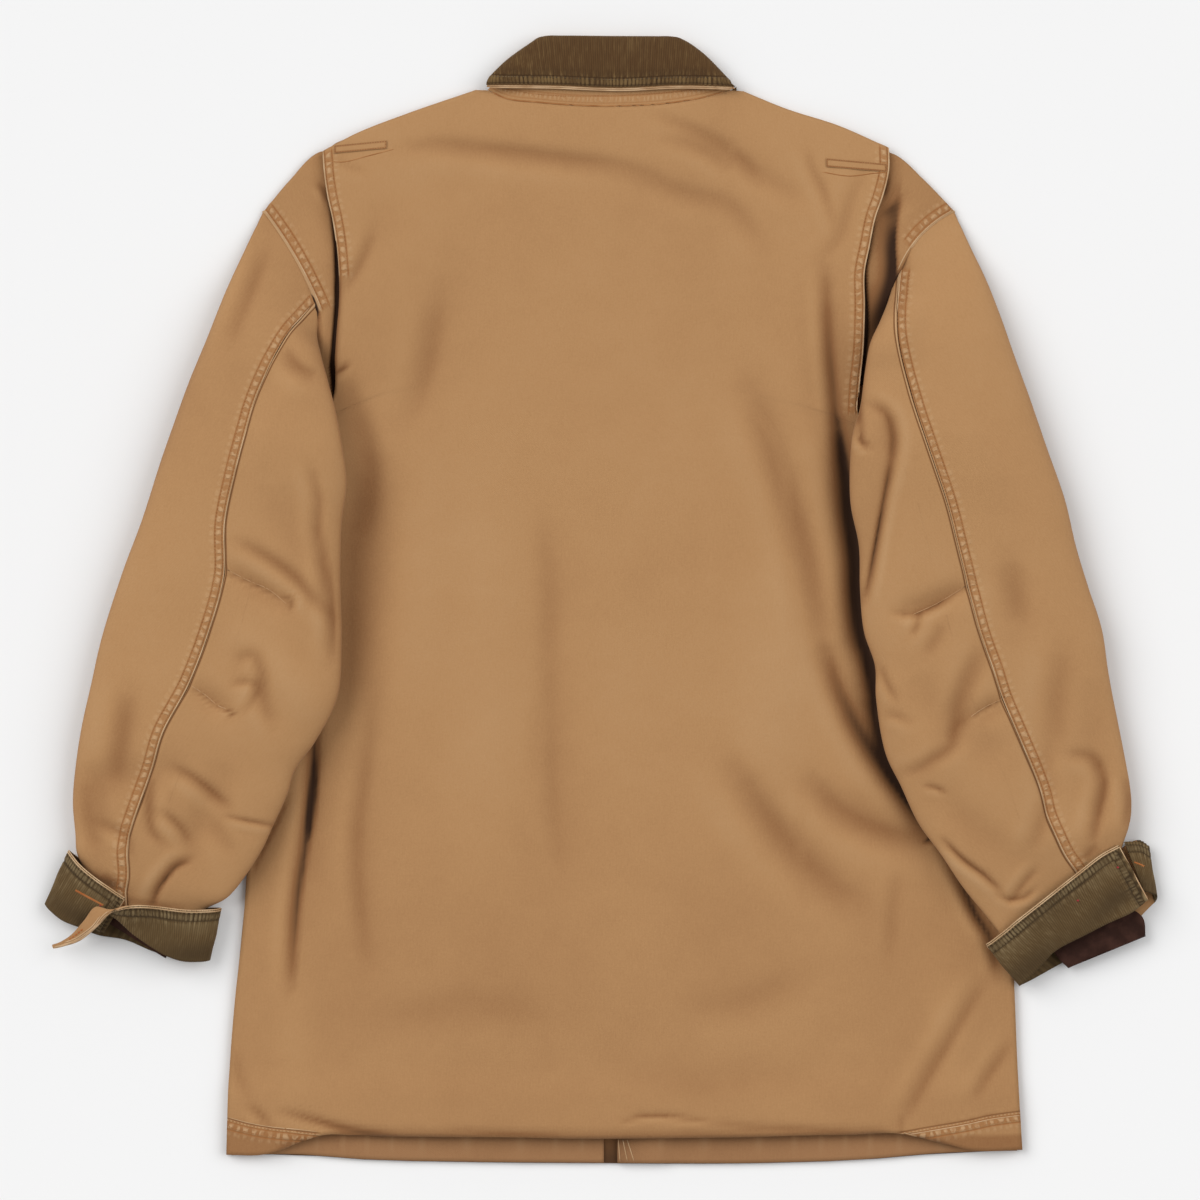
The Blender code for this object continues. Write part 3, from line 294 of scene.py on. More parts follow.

# Creases as they lie, seen from above: the points of a line, its softness to the left and to the right
# of its run, its height, where negative sinks, and its tone: painted shade where negative, with a painted
# highlight on the swell beside it.
CREASES_TORSO = [
    ([(-250.5, -157), (-261.5, -180), (-273.5, -204), (-283, -226)], 2.4, 2.4, -1, -1.3),
    ([(240, -432.7), (258, -437), (282, -443)], 2.5, 3.5, -1.6, -0.6),
    ([(-229, -434), (-248, -438), (-262, -444)], 3.5, 2.5, -1.6, -0.5),
    ([(340, -414.5), (315.7, -418), (297, -422), (268.7, -427)], 1.6, 1.6, -0.6, -0.4),
    ([(-302, -420.5), (-290, -423.5), (-270, -427.5), (-245, -430)], 1.6, 1.6, -0.6, -0.4),
    ([(183, 267), (185, 218), (188, 184), (193, 142), (198, 103)], 5, 6, -4, -1.1),
    ([(193, 142), (199, 103), (203, 70), (208, 34), (209, -2), (212, -30), (219, -49),
      (223, -81)], 7, 11, -5, -2.6),
    ([(215, -39), (222, -73), (224, -98), (231, -122), (240, -142), (252, -162), (267, -183),
      (280, -200)], 8, 7, -4, -2.1),
    ([(124, 170), (149, 100), (168, 39), (180, -16), (189, -65)], 9, 13, -2.5, -0.55),
    ([(184, -41), (194, -73), (207, -101), (231, -139), (254, -167), (270, -192)], 6, 9, -2.6, -1.5),
    ([(102, -120), (130, -166), (155, -200), (182, -226), (222, -250)], 9, 15, -2.5, -0.5),
    ([(167, -137), (190, -166), (219, -183), (249, -191), (270, -193)], 7, 13, -2.5, -0.65),
    ([(262, -197), (269, -194), (274, -190)], 2.5, 2.5, -1.5, -1.6),
    ([(275, -195), (283, -212), (293, -231), (304, -255), (316, -275), (321, -304)], 5, 5, -3, -1.9),
    ([(311, -312), (296, -336), (279, -366), (260, -398), (246, -422)], 4, 8, -2.2, -0.65),
    ([(334, -358), (316, -384), (302, -405)], 4, 6, -1.6, -0.5),
    ([(73, -331), (109, -326), (140, -315), (164, -303)], 12, 14, -1.2, -0.25),
    ([(240, -220), (237, -256), (234, -296)], 6, 6, -1.2, -0.25),
    ([(32, -389), (81, -393), (129, -385), (186, -397)], 14, 14, -1, -0.18),
    ([(-215, 183), (-210, 186), (-204, 191)], 2.5, 2.5, -1.2, -1.3),
    ([(-207, 180), (-201, 163), (-191, 135), (-185, 108), (-186, 81), (-193, 48)], 9, 16, -3, -0.6),
    ([(-193, 89), (-196, 48), (-198, 0), (-201, -49), (-207, -98)], 24, 14, -2.5, -0.4),
    ([(-183, 298), (-195, 269), (-208, 248)], 4, 6, -1.4, -0.5),
    ([(-129, 243), (-140, 181), (-153, 142)], 7, 12, -1.8, -0.38),
    ([(-229, -94), (-230.5, -115), (-230.5, -135), (-232, -160), (-235.5, -192)], 3.2, 7, -3, -2.1),
    ([(-231, -140), (-236.3, -190.6), (-241.2, -219.8), (-244.2, -241.5), (-247, -275),
      (-249, -315)], 3.2, 7, -2.2, -1.6),
    ([(-183, -81), (-190, -143), (-196, -193), (-194, -243), (-188, -296)], 6, 7, -1.5, -0.38),
    ([(-40, -65), (-38, -131), (-36, -180), (-29, -227)], 6, 8, -1, -0.16),
    ([(-46, 66), (-41, 22), (-40, -33), (-40, -81)], 8, 8, -1, -0.2),
    ([(-52, -81), (-55, -156)], 6, 6, -0.8, -0.1),
    ([(-162, 367), (-130, 370), (-99, 367), (-61, 363), (-22, 358), (10, 354),
      (44, 345)], 5, 9, -2.2, -0.55),
    ([(32, 348), (66, 332), (105, 321), (132, 288)], 6, 9, -1.6, -0.36),
    ([(44, 395), (76, 382), (102, 369), (118, 356), (129, 338)], 4, 7, -1.8, -0.42),
    ([(44, 376), (71, 369), (95, 356), (109, 338)], 4, 6, -1.2, -0.3),
    ([(61, 377), (105, 360), (140, 339), (167, 323)], 6, 8, -1, -0.22),
    ([(167, 364), (172, 350), (183, 327), (189, 303)], 4, 5, -1.6, -0.5),
    ([(215, 350), (204, 324), (193, 291), (178, 274)], 5, 7, -1.4, -0.34),
    ([(-216, 358), (-203, 351), (-190, 348)], 3, 4, -0.8, -0.3),
    ([(18, -422), (32, -418), (52, -418), (86, -421)], 1.8, 2.2, -2, -0.9),
    ([(86, -422), (113, -425), (154, -427), (202, -430)], 2.5, 3.5, -1.2, -0.45),
    ([(-258, -413), (-235, -420), (-217, -425), (-193, -430), (-166, -434)], 3, 4, -2.4, -1.1),
    ([(-284, -409), (-274, -418), (-266, -428)], 3, 4, -1.4, -0.6),
    ([(-295, -365), (-292, -385), (-284, -405)], 4, 5, -1.2, -0.3),
    ([(-122, -428), (-81, -431), (-33, -433)], 2, 2.5, -1, -0.4),
    ([(-195, -340), (-146, -332), (-81, -329), (-33, -336)], 14, 16, -1, -0.22),
]
CREASES_SLEEVES = [
    ([(-362.8, -143.6), (-364.7, -171), (-360.8, -188.8), (-351, -198.6)], 5, 4, -1.8, -0.55),
    ([(-311.7, -177), (-304, -190.7), (-294, -206.5)], 5, 8, -1, -0.2),
    ([(-411.8, -128), (-404, -171), (-402, -200)], 8, 10, -1.6, -0.22),
    ([(300, -41.6), (290.4, -69), (282.5, -104.3), (259, -132)], 9, 6, -1.4, -0.22),
    ([(364, -111), (360, -140), (368, -162)], 8, 8, -1.2, -0.18),
    ([(-293, 48), (-276, 39), (-263, 31), (-246, 18), (-231, 1), (-216, -16)], 5, 6, -2.6, -0.55),
    ([(-304, 24), (-282, 14), (-268, 8), (-256, 1)], 1.6, 2.6, -1, -0.35),
    ([(-256, 4), (-249, -1), (-250, -9)], 3.2, 3, -1.6, -0.6),
    ([(-331, -70), (-319, -77), (-308, -86), (-300, -89)], 1.6, 2.4, -1, -0.4),
    ([(-302, -88), (-298, -91), (-298, -96)], 2.4, 2.4, -1.6, -0.8),
    ([(-293, -55), (-289, -46), (-279, -45), (-274, -55), (-271, -81), (-264, -102)], 6, 6, -2.2, -0.5),
    ([(-298, -68), (-289, -66), (-279, -68), (-281, -81), (-287, -91)], 4, 4, -1.4, -0.5),
    ([(-343, -134), (-329, -142), (-311, -156), (-298, -167)], 3, 6, -2, -0.6),
    ([(-302, -174), (-280, -179), (-263, -182)], 2, 3, -1.4, -0.6),
    ([(-355, -169), (-340, -182), (-331, -196)], 3, 5, -1.6, -0.5),
    ([(-332, -211), (-344, -217), (-350, -224), (-357, -234), (-362, -248)], 2.6, 5, -3, -1.1),
    ([(-228, 64), (-224, 32), (-225, 0)], 5, 6, -1.6, -0.35),
    ([(-219, 32), (-216, -8), (-216, -49)], 3, 6, -2, -0.5),
    ([(-254, 201), (-243, 188), (-229, 180)], 4, 8, -1.6, -0.4),
    ([(-233, 107), (-227, 81), (-229, 48)], 4, 6, -1.6, -0.35),
    ([(-380, -74), (-386.5, -118), (-393, -150)], 9, 11, -2, -0.45),
    ([(-269, 283), (-284, 243), (-298, 206)], 5, 9, -1.4, -0.3),
    ([(-405, -178), (-382, -193), (-377, -209)], 4, 5, -1.2, -0.35),
    ([(-418, -146), (-414, -178), (-406, -203)], 7, 8, -1.2, -0.35),
    ([(208, 201), (209, 178), (210, 155), (212, 132)], 3, 3, -1.6, -0.8),
    ([(210, 134), (213, 126), (218, 124)], 3, 3, -1.6, -0.8),
    ([(218, 158), (230, 150), (236, 132), (234, 109), (230, 87)], 5, 4, -2.5, -0.7),
    ([(233, 105), (228, 77), (223, 48), (218, 19), (214, -2)], 4, 2.6, -3, -1.1),
    ([(298, 11), (287, 6), (275, -3), (261, -9)], 3, 2.4, -1.2, -0.3),
    ([(278, 0), (269, -6), (260, -10), (250, -12), (237, -10)], 3.2, 2.8, -1.6, -0.5),
    ([(259, -10), (257, -18), (252, -30)], 3, 4, -1.4, -0.5),
    ([(277, -18), (270, -33), (262, -46)], 6, 6, -1.2, -0.3),
    ([(325, -80), (312, -86), (297, -96)], 2, 1.6, -1, -0.45),
    ([(297, -94), (288, -104), (283, -119), (269, -129), (257, -136), (244, -140)], 5, 5, -1.6, -0.38),
    ([(262, -150), (270, -151), (279, -155)], 2.5, 2.5, -1.2, -0.6),
    ([(311, -37), (296, -73), (283, -104)], 8, 8, -1.6, -0.28),
    ([(230, -91), (241, -94), (252, -99)], 4, 4, -1.2, -0.3),
    ([(227, -52), (233, -68), (240, -81)], 3, 4, -1.2, -0.4),
    ([(401, -128), (408, -147), (404, -171), (398, -198)], 4, 7, -2.6, -0.62),
    ([(377, -123), (395, -126), (408, -135)], 4, 6, -1.2, -0.3),
    ([(374, -41), (369, -85), (368, -120)], 10, 12, -1.6, -0.32),
    ([(330, 32), (335, 8), (340, -21)], 10, 14, -1.4, -0.3),
    ([(361, -162), (356, -183), (348, -203)], 6, 7, -1.4, -0.28),
    ([(278, -193), (294, -209), (311, -222), (325, -235)], 2.2, 4, -2.4, -0.9),
    ([(321, -238), (332, -242), (343, -240), (351, -232)], 2.5, 3, -1.6, -0.5),
    ([(353, -217), (342, -230), (330, -247)], 3, 4, -1.4, -0.4),
    ([(248, 289), (244, 251), (244, 218)], 5, 6, -1.8, -0.35),
    ([(423, -143), (426, -162), (424, -185)], 3, 4, -1.2, -0.4),
    ([(-422.3, -211), (-414.5, -221.6), (-404, -228.8), (-394, -235.6)], 5, 5, -0.5, -0.75),
    ([(-404, -222), (-394, -229), (-382, -236)], 5, 5, -0.8, -0.8),
    ([(-385, -242), (-365, -246), (-349, -248), (-334, -249)], 4, 4, -0.3, -0.5),
    ([(341.5, -278), (366.5, -251), (388, -234), (405, -219.5)], 4, 4, -0.5, -0.4),
    ([(388, -212), (396, -205), (404, -200)], 5, 5, -1, -0.45),
]
CREASES_GUSSETS = [
    ([(242.8, 326.5), (241.5, 315.6), (239.6, 301.3), (238.8, 286), (239.2, 267.8), (237.9, 258),
      (233.9, 245.5), (229, 232), (222, 200)], 2.2, 12, -2.0, -2.4),
    ([(243.6, 327), (236, 318), (226, 312)], 6, 2.5, -1.6, -0.5),
    ([(233, 345), (232, 336), (229.5, 325)], 1.5, 1.5, -1.5, -1.3),
    ([(-229, 337), (-224, 331), (-221, 322)], 3, 3, -1, -0.8),
    ([(-237, 215), (-233, 222), (-229, 240)], 4, 4, -1, -0.5),
]


def smooth(value, low, high):
    """0 below low, 1 above high, and an even S between them."""
    t = np.clip((np.asarray(value, float) - low) / (high - low), 0.0, 1.0)
    return t * t * (3.0 - 2.0 * t)


def along(points, shares, by_row=False):
    """Points of a Catmull-Rom line at shares of its length, or of its count of rows."""
    p = np.asarray(points, float)
    if by_row:
        knots = np.arange(len(p)) / (len(p) - 1.0)
    else:
        knots = np.concatenate(([0.0], np.cumsum(np.linalg.norm(np.diff(p[:, :2], axis=0), axis=1))))
        knots = knots / knots[-1]
    slopes = np.gradient(p, knots, axis=0)
    shares = np.asarray(shares, float)
    i = np.clip(np.searchsorted(knots, shares, side="right") - 1, 0, len(p) - 2)
    span = (knots[i + 1] - knots[i])[:, None]
    w = ((shares - knots[i]) / span[:, 0])[:, None]
    return ((2 * w**3 - 3 * w**2 + 1) * p[i] + (w**3 - 2 * w**2 + w) * span * slopes[i]
            + (3 * w**2 - 2 * w**3) * p[i + 1] + (w**3 - w**2) * span * slopes[i + 1])


def shares_of(points):
    """Share of the way along a line at each of its points."""
    steps = np.linalg.norm(np.diff(points[:, :2], axis=0), axis=1)
    length = np.concatenate(([0.0], np.cumsum(steps)))
    return length / length[-1]


def patch(top, bottom, left, right):
    """Coons patch in plan: top and left are its own points, bottom and right are read at their shares."""
    top, left = np.asarray(top, float), np.asarray(left, float)
    u, v = shares_of(top), shares_of(left)
    b, r = along(bottom, u), along(right, v)
    uu, vv = u[None, :, None], v[:, None, None]
    ruled = (1 - vv) * top[None] + vv * b[None] + (1 - uu) * left[:, None] + uu * r[:, None]
    corners = ((1 - uu) * (1 - vv) * top[0] + uu * (1 - vv) * top[-1]
               + (1 - uu) * vv * b[0] + uu * vv * b[-1])
    return ruled - corners


def relief(x, y, folds):
    """Sum of the folds: height * exp(-(distance / width)^2), fading to nothing at both ends."""
    steps = np.linspace(0.0, 1.0, 97)
    total = np.zeros(np.shape(x))
    for x0, y0, x1, y1, x2, y2, width, height in folds:
        cx = (1 - steps)**2 * x0 + 2 * steps * (1 - steps) * x1 + steps**2 * x2
        cy = (1 - steps)**2 * y0 + 2 * steps * (1 - steps) * y1 + steps**2 * y2
        squared = (x[..., None] - cx)**2 + (y[..., None] - cy)**2
        nearest = squared.argmin(axis=-1)
        fade = np.sqrt(np.sin(np.pi * np.clip(steps[nearest], 0.02, 0.98)))
        total += height * fade * np.exp(-squared.min(axis=-1) / width**2)
    return total


def edge_x(y, line):
    """x of a line that runs up and down, at height y."""
    p = np.asarray(line, float)
    order = np.argsort(p[:, 1])
    return np.interp(y, p[order, 1], p[order, 0])


TORSO_EDGE_LEFT = [SHOULDER_LEFT[0]] + ARMPIT_LEFT + SIDE_LEFT[4:]
TORSO_EDGE_RIGHT = [SHOULDER_RIGHT[0]] + ARMPIT_RIGHT + SIDE_RIGHT[4:]
SHOULDER_LINE = SHOULDER_LEFT + [(-54, 452), (8, 457), (69, 452)] + SHOULDER_RIGHT[::-1]


def inside_distance(x, y):
    """Distance inwards from the nearer side edge of the torso, negative outside."""
    return np.minimum(x - edge_x(y, TORSO_EDGE_LEFT), edge_x(y, TORSO_EDGE_RIGHT) - x)


def shoulder_distance(x, y):
    """Distance down from the shoulder line."""
    line = np.asarray(SHOULDER_LINE, float)
    return np.maximum(np.interp(x, line[:, 0], line[:, 1]) - y, 0.0)


def rest_height(x, y):
    """Level of the inner side of the cloth over the fronts: a low cushion of air, thin at the edges.

    base + loft(y) * (1 - exp(-side / softness)) * (1 - exp(-top / softness)) + open armhole + folds
    """
    side = np.maximum(inside_distance(x, y), 0.0)
    top = shoulder_distance(x, y)
    levels = np.asarray(TORSO_LOFT, float)
    loft = np.interp(y, levels[:, 0], levels[:, 1])
    base = WALL + GAP + (WALL + GAP) * smooth(-y, -HEM_BAND_TOP - HEM_BLEND, -HEM_BAND_TOP)
    swell = (1 - np.exp(-side / SIDE_SOFTNESS)) * (1 - np.exp(-top / TOP_SOFTNESS))
    mouth = ARMHOLE_RISE * np.exp(-(side / ARMHOLE_REACH)**2) * smooth(y, 175, 215)
    mouth = mouth * (1 - smooth(y, 270, 314))
    folds = relief(x, y, TORSO_FOLDS) * smooth(side, 0, 40)
    return np.maximum(base + loft * swell + mouth + folds, base)


def pleat_lift(x, y):
    """Extra height of the back over its pleat gussets, greatest at the pleat edge."""
    left = x - edge_x(y, PLEAT_LEFT)
    right = edge_x(y, PLEAT_RIGHT) - x
    near = np.maximum(np.minimum(left, right), 0.0)
    open_share = 1 - np.exp(-shoulder_distance(x, y) / 30.0)
    amount = SHOULDER_LIFT + (PLEAT_LIFT - SHOULDER_LIFT) * open_share
    return amount * np.exp(-(near / PLEAT_REACH)**2) * smooth(y, 60, 130)


def back_height(x, y):
    """Level of the back's inner side: the cushion of air and the lift at the pleats."""
    return rest_height(x, y) + pleat_lift(x, y)


def floor_height(x, y):
    """Level of what a sleeve or cuff lies on: the torso's top, ramping down to the surface outside."""
    d = inside_distance(x, y)
    side = np.maximum(d, 0.0)
    nearest_x = np.where(x < MIDDLE_X, np.maximum(x, edge_x(y, TORSO_EDGE_LEFT)),
                         np.minimum(x, edge_x(y, TORSO_EDGE_RIGHT)))
    top = back_height(nearest_x, y) + WALL + SLEEVE_CLEAR
    return np.where(side > 0, top, top * smooth(d, -RAMP, 0.0))


def up(grid):
    """Upward directions for every point of a grid."""
    return np.broadcast_to(np.array([0.0, 0.0, 1.0]), grid.shape)


def raised(plan, height):
    """Plan grid with its heights added."""
    return np.concatenate((plan, height[..., None]), axis=-1)


def armhole_line(table, gap):
    """The armhole seam from the shoulder tip to the armpit, moved gap towards the torso."""
    share = np.linspace(0.0, 1.0, 7)
    ox, oy, ix, iy = table[0][:4]
    direction = np.array([ix - ox, iy - oy], float)
    direction = direction / np.linalg.norm(direction)
    inward = np.array([-direction[1], direction[0]])
    inward = inward * np.sign(inward[1])
    bow = table[0][8]
    line = np.array([ox, oy]) + share[:, None] * np.array([ix - ox, iy - oy])
    line = line + (bow * (1 - (2 * share - 1)**2) + gap)[:, None] * inward
    return line


def front_neck_points(sign):
    """Neckline of a front: the left one as given, the right one mirrored about the middle."""
    points = along(NECKLINE, np.linspace(0.0, 1.0, 9))
    return np.column_stack((MIDDLE_X + sign * (points[:, 0] - MIDDLE_X), points[:, 1]))


def neck_level(x, sign):
    """y of the neckline at x, level past the middle."""
    points = front_neck_points(1)
    return float(np.interp(MIDDLE_X + sign * (x - MIDDLE_X), points[:, 0], points[:, 1]))


def hem_level(x):
    """y of the fronts' hem at x."""
    hem = along(HEM_FRONT, np.linspace(0, 1, 60))
    return float(np.interp(x, hem[:, 0], hem[:, 1]))


def armpit_points(armpit, away):
    """Edge of the torso below the armhole, moved clear of the sleeve; away is -1 on the left."""
    points = np.asarray(armpit, float)
    return points - np.array([away * ARMHOLE_GAP, 0.0])


def sleeve_section(row, angle):
    """Inner-side points of one station at angles round it: 0 outer edge, pi/2 top, pi inner edge.

    Across: -cos(angle) over the half-width. Height: between the underside, which follows what the
    sleeve lies on, and the top, by |sin| to a power, flatter below than above.
    """
    ox, oy, ix, iy, seam, loft, lift, free, bow = row
    axis = np.array([ix - ox, iy - oy])
    half = 0.5 * np.linalg.norm(axis)
    direction = axis / (2 * half)
    side = np.array([-direction[1], direction[0]])
    side = side * np.sign(side[1] if abs(side[1]) > 0.01 else 1.0)
    across = -np.cos(angle) * (half - WALL)
    centre = np.array([(ox + ix) / 2, (oy + iy) / 2])
    plan = centre + across[:, None] * direction + (bow * (1 - (across / half)**2))[:, None] * side
    x, y = plan[:, 0], plan[:, 1]
    ground = floor_height(x, y) * free
    low = WALL + lift + ground
    folds = relief(x, y, SLEEVE_FOLDS) * free
    own_top = WALL + lift + loft + 0.6 * ground + folds
    high = (1 - free) * rest_height(x, y) + free * own_top
    high = np.maximum(high, low + 0.4)
    middle = low + 0.42 * (high - low)
    rise = np.sin(angle)
    z = np.where(rise >= 0, middle + (high - middle) * np.abs(rise)**0.75,
                 middle - (middle - low) * np.abs(rise)**0.35)
    return np.column_stack((plan, z))


def walk(points, step):
    """Points spaced evenly by about step along the curve through points."""
    dense = along(points, np.linspace(0, 1, 240))
    run = np.concatenate(([0.0], np.cumsum(np.linalg.norm(np.diff(dense, axis=0), axis=1))))
    at = np.linspace(0, run[-1], max(int(round(run[-1] / step)), 2) + 1)
    return np.column_stack([np.interp(at, run, dense[:, k]) for k in range(dense.shape[1])])


def offset(line, distance):
    """The line moved sideways in plan, to the left of its run where distance is positive."""
    p = walk(line, 4.0)
    t = np.gradient(p[:, :2], axis=0)
    t = t / np.linalg.norm(t, axis=1)[:, None]
    return p[:, :2] + distance * np.column_stack((-t[:, 1], t[:, 0]))


def nearest_on(x, y, line, step):
    """For points and a line: share along it, distance, the signed distance (left positive), run beyond."""
    p = walk(np.asarray(line, float)[:, :2], step)
    t = np.gradient(p, axis=0)
    t = t / np.linalg.norm(t, axis=1)[:, None]
    dx, dy = x[:, None] - p[:, 0], y[:, None] - p[:, 1]
    k = (dx**2 + dy**2).argmin(axis=1)
    own = np.arange(len(k))
    dx, dy = dx[own, k], dy[own, k]
    ahead = dx * t[k, 0] + dy * t[k, 1]
    across = t[k, 0] * dy - t[k, 1] * dx
    beyond = np.where(k == 0, -ahead, np.where(k == len(p) - 1, ahead, 0.0))
    return k / (len(p) - 1.0), np.hypot(dx, dy), across, beyond, k * step


def around(x, y, line, reach):
    """Which points lie within reach of a line's box."""
    p = np.asarray(line, float)
    return ((x > p[:, 0].min() - reach) & (x < p[:, 0].max() + reach)
            & (y > p[:, 1].min() - reach) & (y < p[:, 1].max() + reach))


def seam_field(x, y, lines):
    """What the finishes read about the nearest seam: a line, the side its band is on, how strongly its edge
    shows.

    seam is the signed distance, positive on the band; run the way along it; near fades to 0 by
    REACH from the line and past its ends; crisp is how strongly its edge shows, 0 to 1: its pale wear,
    its raised welt and the painted shadow beside it.
    """
    nearest = np.full(x.shape, REACH)
    run, near, crisp = np.zeros(x.shape), np.zeros(x.shape), np.zeros(x.shape)
    for line, side, wear in lines:
        close = around(x, y, line, REACH)
        share, away, across, beyond, along_it = nearest_on(x[close], y[close], line, 1.5)
        better = away < np.abs(nearest[close])
        for field, values in ((nearest, across * side), (run, along_it),
                              (near, (1 - smooth(away, 0.6 * REACH, REACH)) * (1 - smooth(beyond, 0.3, 1.6))),
                              (crisp, np.full(away.shape, wear))):
            changed = field[close]
            changed[better] = values[better]
            field[close] = changed
    return {"seam": nearest, "run": run, "near": near, "crisp": crisp}


def creases(x, y, table):
    """Heights and painted shade of creases: fade * exp(-(distance / softness)^2), times height or tone.

    The softness differs on the two sides of the line, and fade is sin(pi share)^0.5 along it. On the
    softer side a swell of about a third runs beside it, exp(-((distance - 2 s) / (0.9 s))^2), with a painted
    highlight.
    """
    lift, tone = np.zeros(x.shape), np.zeros(x.shape)
    for line, left, right, height, shade in table:
        close = around(x, y, line, 3.6 * max(left, right))
        if not close.any():
            continue
        share, away, across, beyond, _ = nearest_on(x[close], y[close], line, 2.0)
        softness = np.where(across > 0, left, right)
        fade = np.sqrt(np.sin(np.pi * np.clip(share, 0.015, 0.985)))
        shape = fade * np.exp(-(away / softness)**2)
        soft, side = max(left, right), 1.0 if left > right else -1.0
        swell = fade * (1 - smooth(beyond, 0, 1.5 * soft))
        swell = swell * np.exp(-((across * side - 2.0 * soft) / (0.9 * soft))**2)
        lift[close] += height * (shape - 0.3 * swell)
        # Painted shade along the crease, and a painted highlight on the swell beside it.
        tone[close] += shade * shape + min(-0.35 * shade, 0.3) * swell
    return lift, tone


def soft_max(a, b, blend_over=1.5):
    """The larger of two heights, rounded where they meet: (a + b + sqrt((a - b)^2 + r^2)) / 2."""
    return 0.5 * (a + b + np.sqrt((a - b)**2 + blend_over**2))


def welt(seam):
    """Height that a seam's folded band adds: a low step on the band, highest at its edge."""
    distance = seam["seam"]
    band = smooth(distance, -0.8, 0.6) * (1 - smooth(distance, BAND - 1.0, BAND + 2.5))
    return (0.6 * band + 0.4 * np.exp(-((distance - 0.3) / 1.2)**2)) * seam["near"] * seam["crisp"]


def normals_of(grid, outward):
    """Unit normals of a grid from its differences along rows and columns, facing outward."""
    n = np.cross(np.gradient(grid, axis=0), np.gradient(grid, axis=1))
    n = n / np.maximum(np.linalg.norm(n, axis=-1), 1e-9)[..., None]
    return n * np.sign(np.sum(n * outward, axis=-1).sum())


def shell(name, grid, outward, wall, finish, nodes, seam=None, tone=None, extra=None):
    """Cloth from a grid of inner-side points, with its wall built outwards.

    Each point keeps its distance from the nearest seam, the run along it and its tone, which the
    finishes read; the UV map measures the cloth across and along in decimetres.
    """
    rows, columns = grid.shape[:2]
    index = np.arange(rows * columns).reshape(rows, columns)
    quads = np.stack((index[:-1, :-1], index[:-1, 1:], index[1:, 1:], index[1:, :-1]), axis=-1)
    quads = quads.reshape(-1, 4)
    p = grid.reshape(-1, 3)
    facing = np.cross(p[quads[:, 2]] - p[quads[:, 0]], p[quads[:, 3]] - p[quads[:, 1]])
    if np.sum(facing * outward.reshape(-1, 3)[quads[:, 0]]) < 0:
        quads = quads[:, ::-1]
    mesh = bpy.data.meshes.new(name)
    mesh.from_pydata(((p + CENTRING) * MM).tolist(), [], quads.tolist())
    mesh.update()
    mesh.shade_smooth()
    across = np.cumsum(np.linalg.norm(np.diff(grid, axis=1, prepend=grid[:, :1]), axis=-1), axis=1)
    across = across - 0.5 * across[:, -1:]
    down = np.cumsum(np.linalg.norm(np.diff(grid, axis=0, prepend=grid[:1]), axis=-1), axis=0)
    down = np.broadcast_to(down.mean(axis=1)[:, None], across.shape)
    uv = np.stack((across, down), axis=-1).reshape(-1, 2) * 0.01
    layer = mesh.uv_layers.new(name="cloth")
    layer.data.foreach_set("uv", uv[quads.reshape(-1)].astype(np.float32).ravel())
    fields = {"tone": tone if tone is not None else 0 * across}
    fields.update(seam or {})
    fields.update(extra or {})
    for key, values in fields.items():
        made = mesh.attributes.new(key, "FLOAT", "POINT")
        made.data.foreach_set("value", np.asarray(values, np.float32).ravel())
    obj = bpy.data.objects.new(name, mesh)
    COAT.objects.link(obj)
    mesh.materials.append(finish)
    solidify = obj.modifiers.new("wall", "SOLIDIFY")
    solidify.thickness = wall * MM
    solidify.offset = 1.0
    solidify.use_even_offset = False
    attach(obj, "root")
    if nodes:
        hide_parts(*nodes)
    return obj


def tree_of(obj):
    """Search tree of a piece as it shows, with its wall."""
    return BVHTree.FromObject(obj, bpy.context.evaluated_depsgraph_get())


def drop(points, tree):
    """Each plan point let down onto the top of a piece: its place and the surface's direction there."""
    places, ways = [], []
    for x, y in np.asarray(points)[:, :2]:
        start = Vector(((x + CENTRING[0]) * MM, (y + CENTRING[1]) * MM, 0.3))
        hit, way, _, _ = tree.ray_cast(start, Vector((0, 0, -1)))
        if hit is None:
            hit, way, _, _ = tree.find_nearest(Vector((start.x, start.y, 0.03)))
        if way.z < 0:
            way = -way
        places.append((hit.x / MM - CENTRING[0], hit.y / MM - CENTRING[1], hit.z / MM - CENTRING[2]))
        ways.append(tuple(way))
    return np.array(places), np.array(ways)


def trim(name, points, faces, finish, slot):
    """Small joined pieces in one mesh."""
    mesh = bpy.data.meshes.new(name)
    mesh.from_pydata(((points + CENTRING) * MM).tolist(), [], faces)
    mesh.update()
    mesh.shade_smooth()
    mesh.materials.append(finish)
    obj = bpy.data.objects.new(name, mesh)
    COAT.objects.link(obj)
    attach(obj, "root")
    return obj


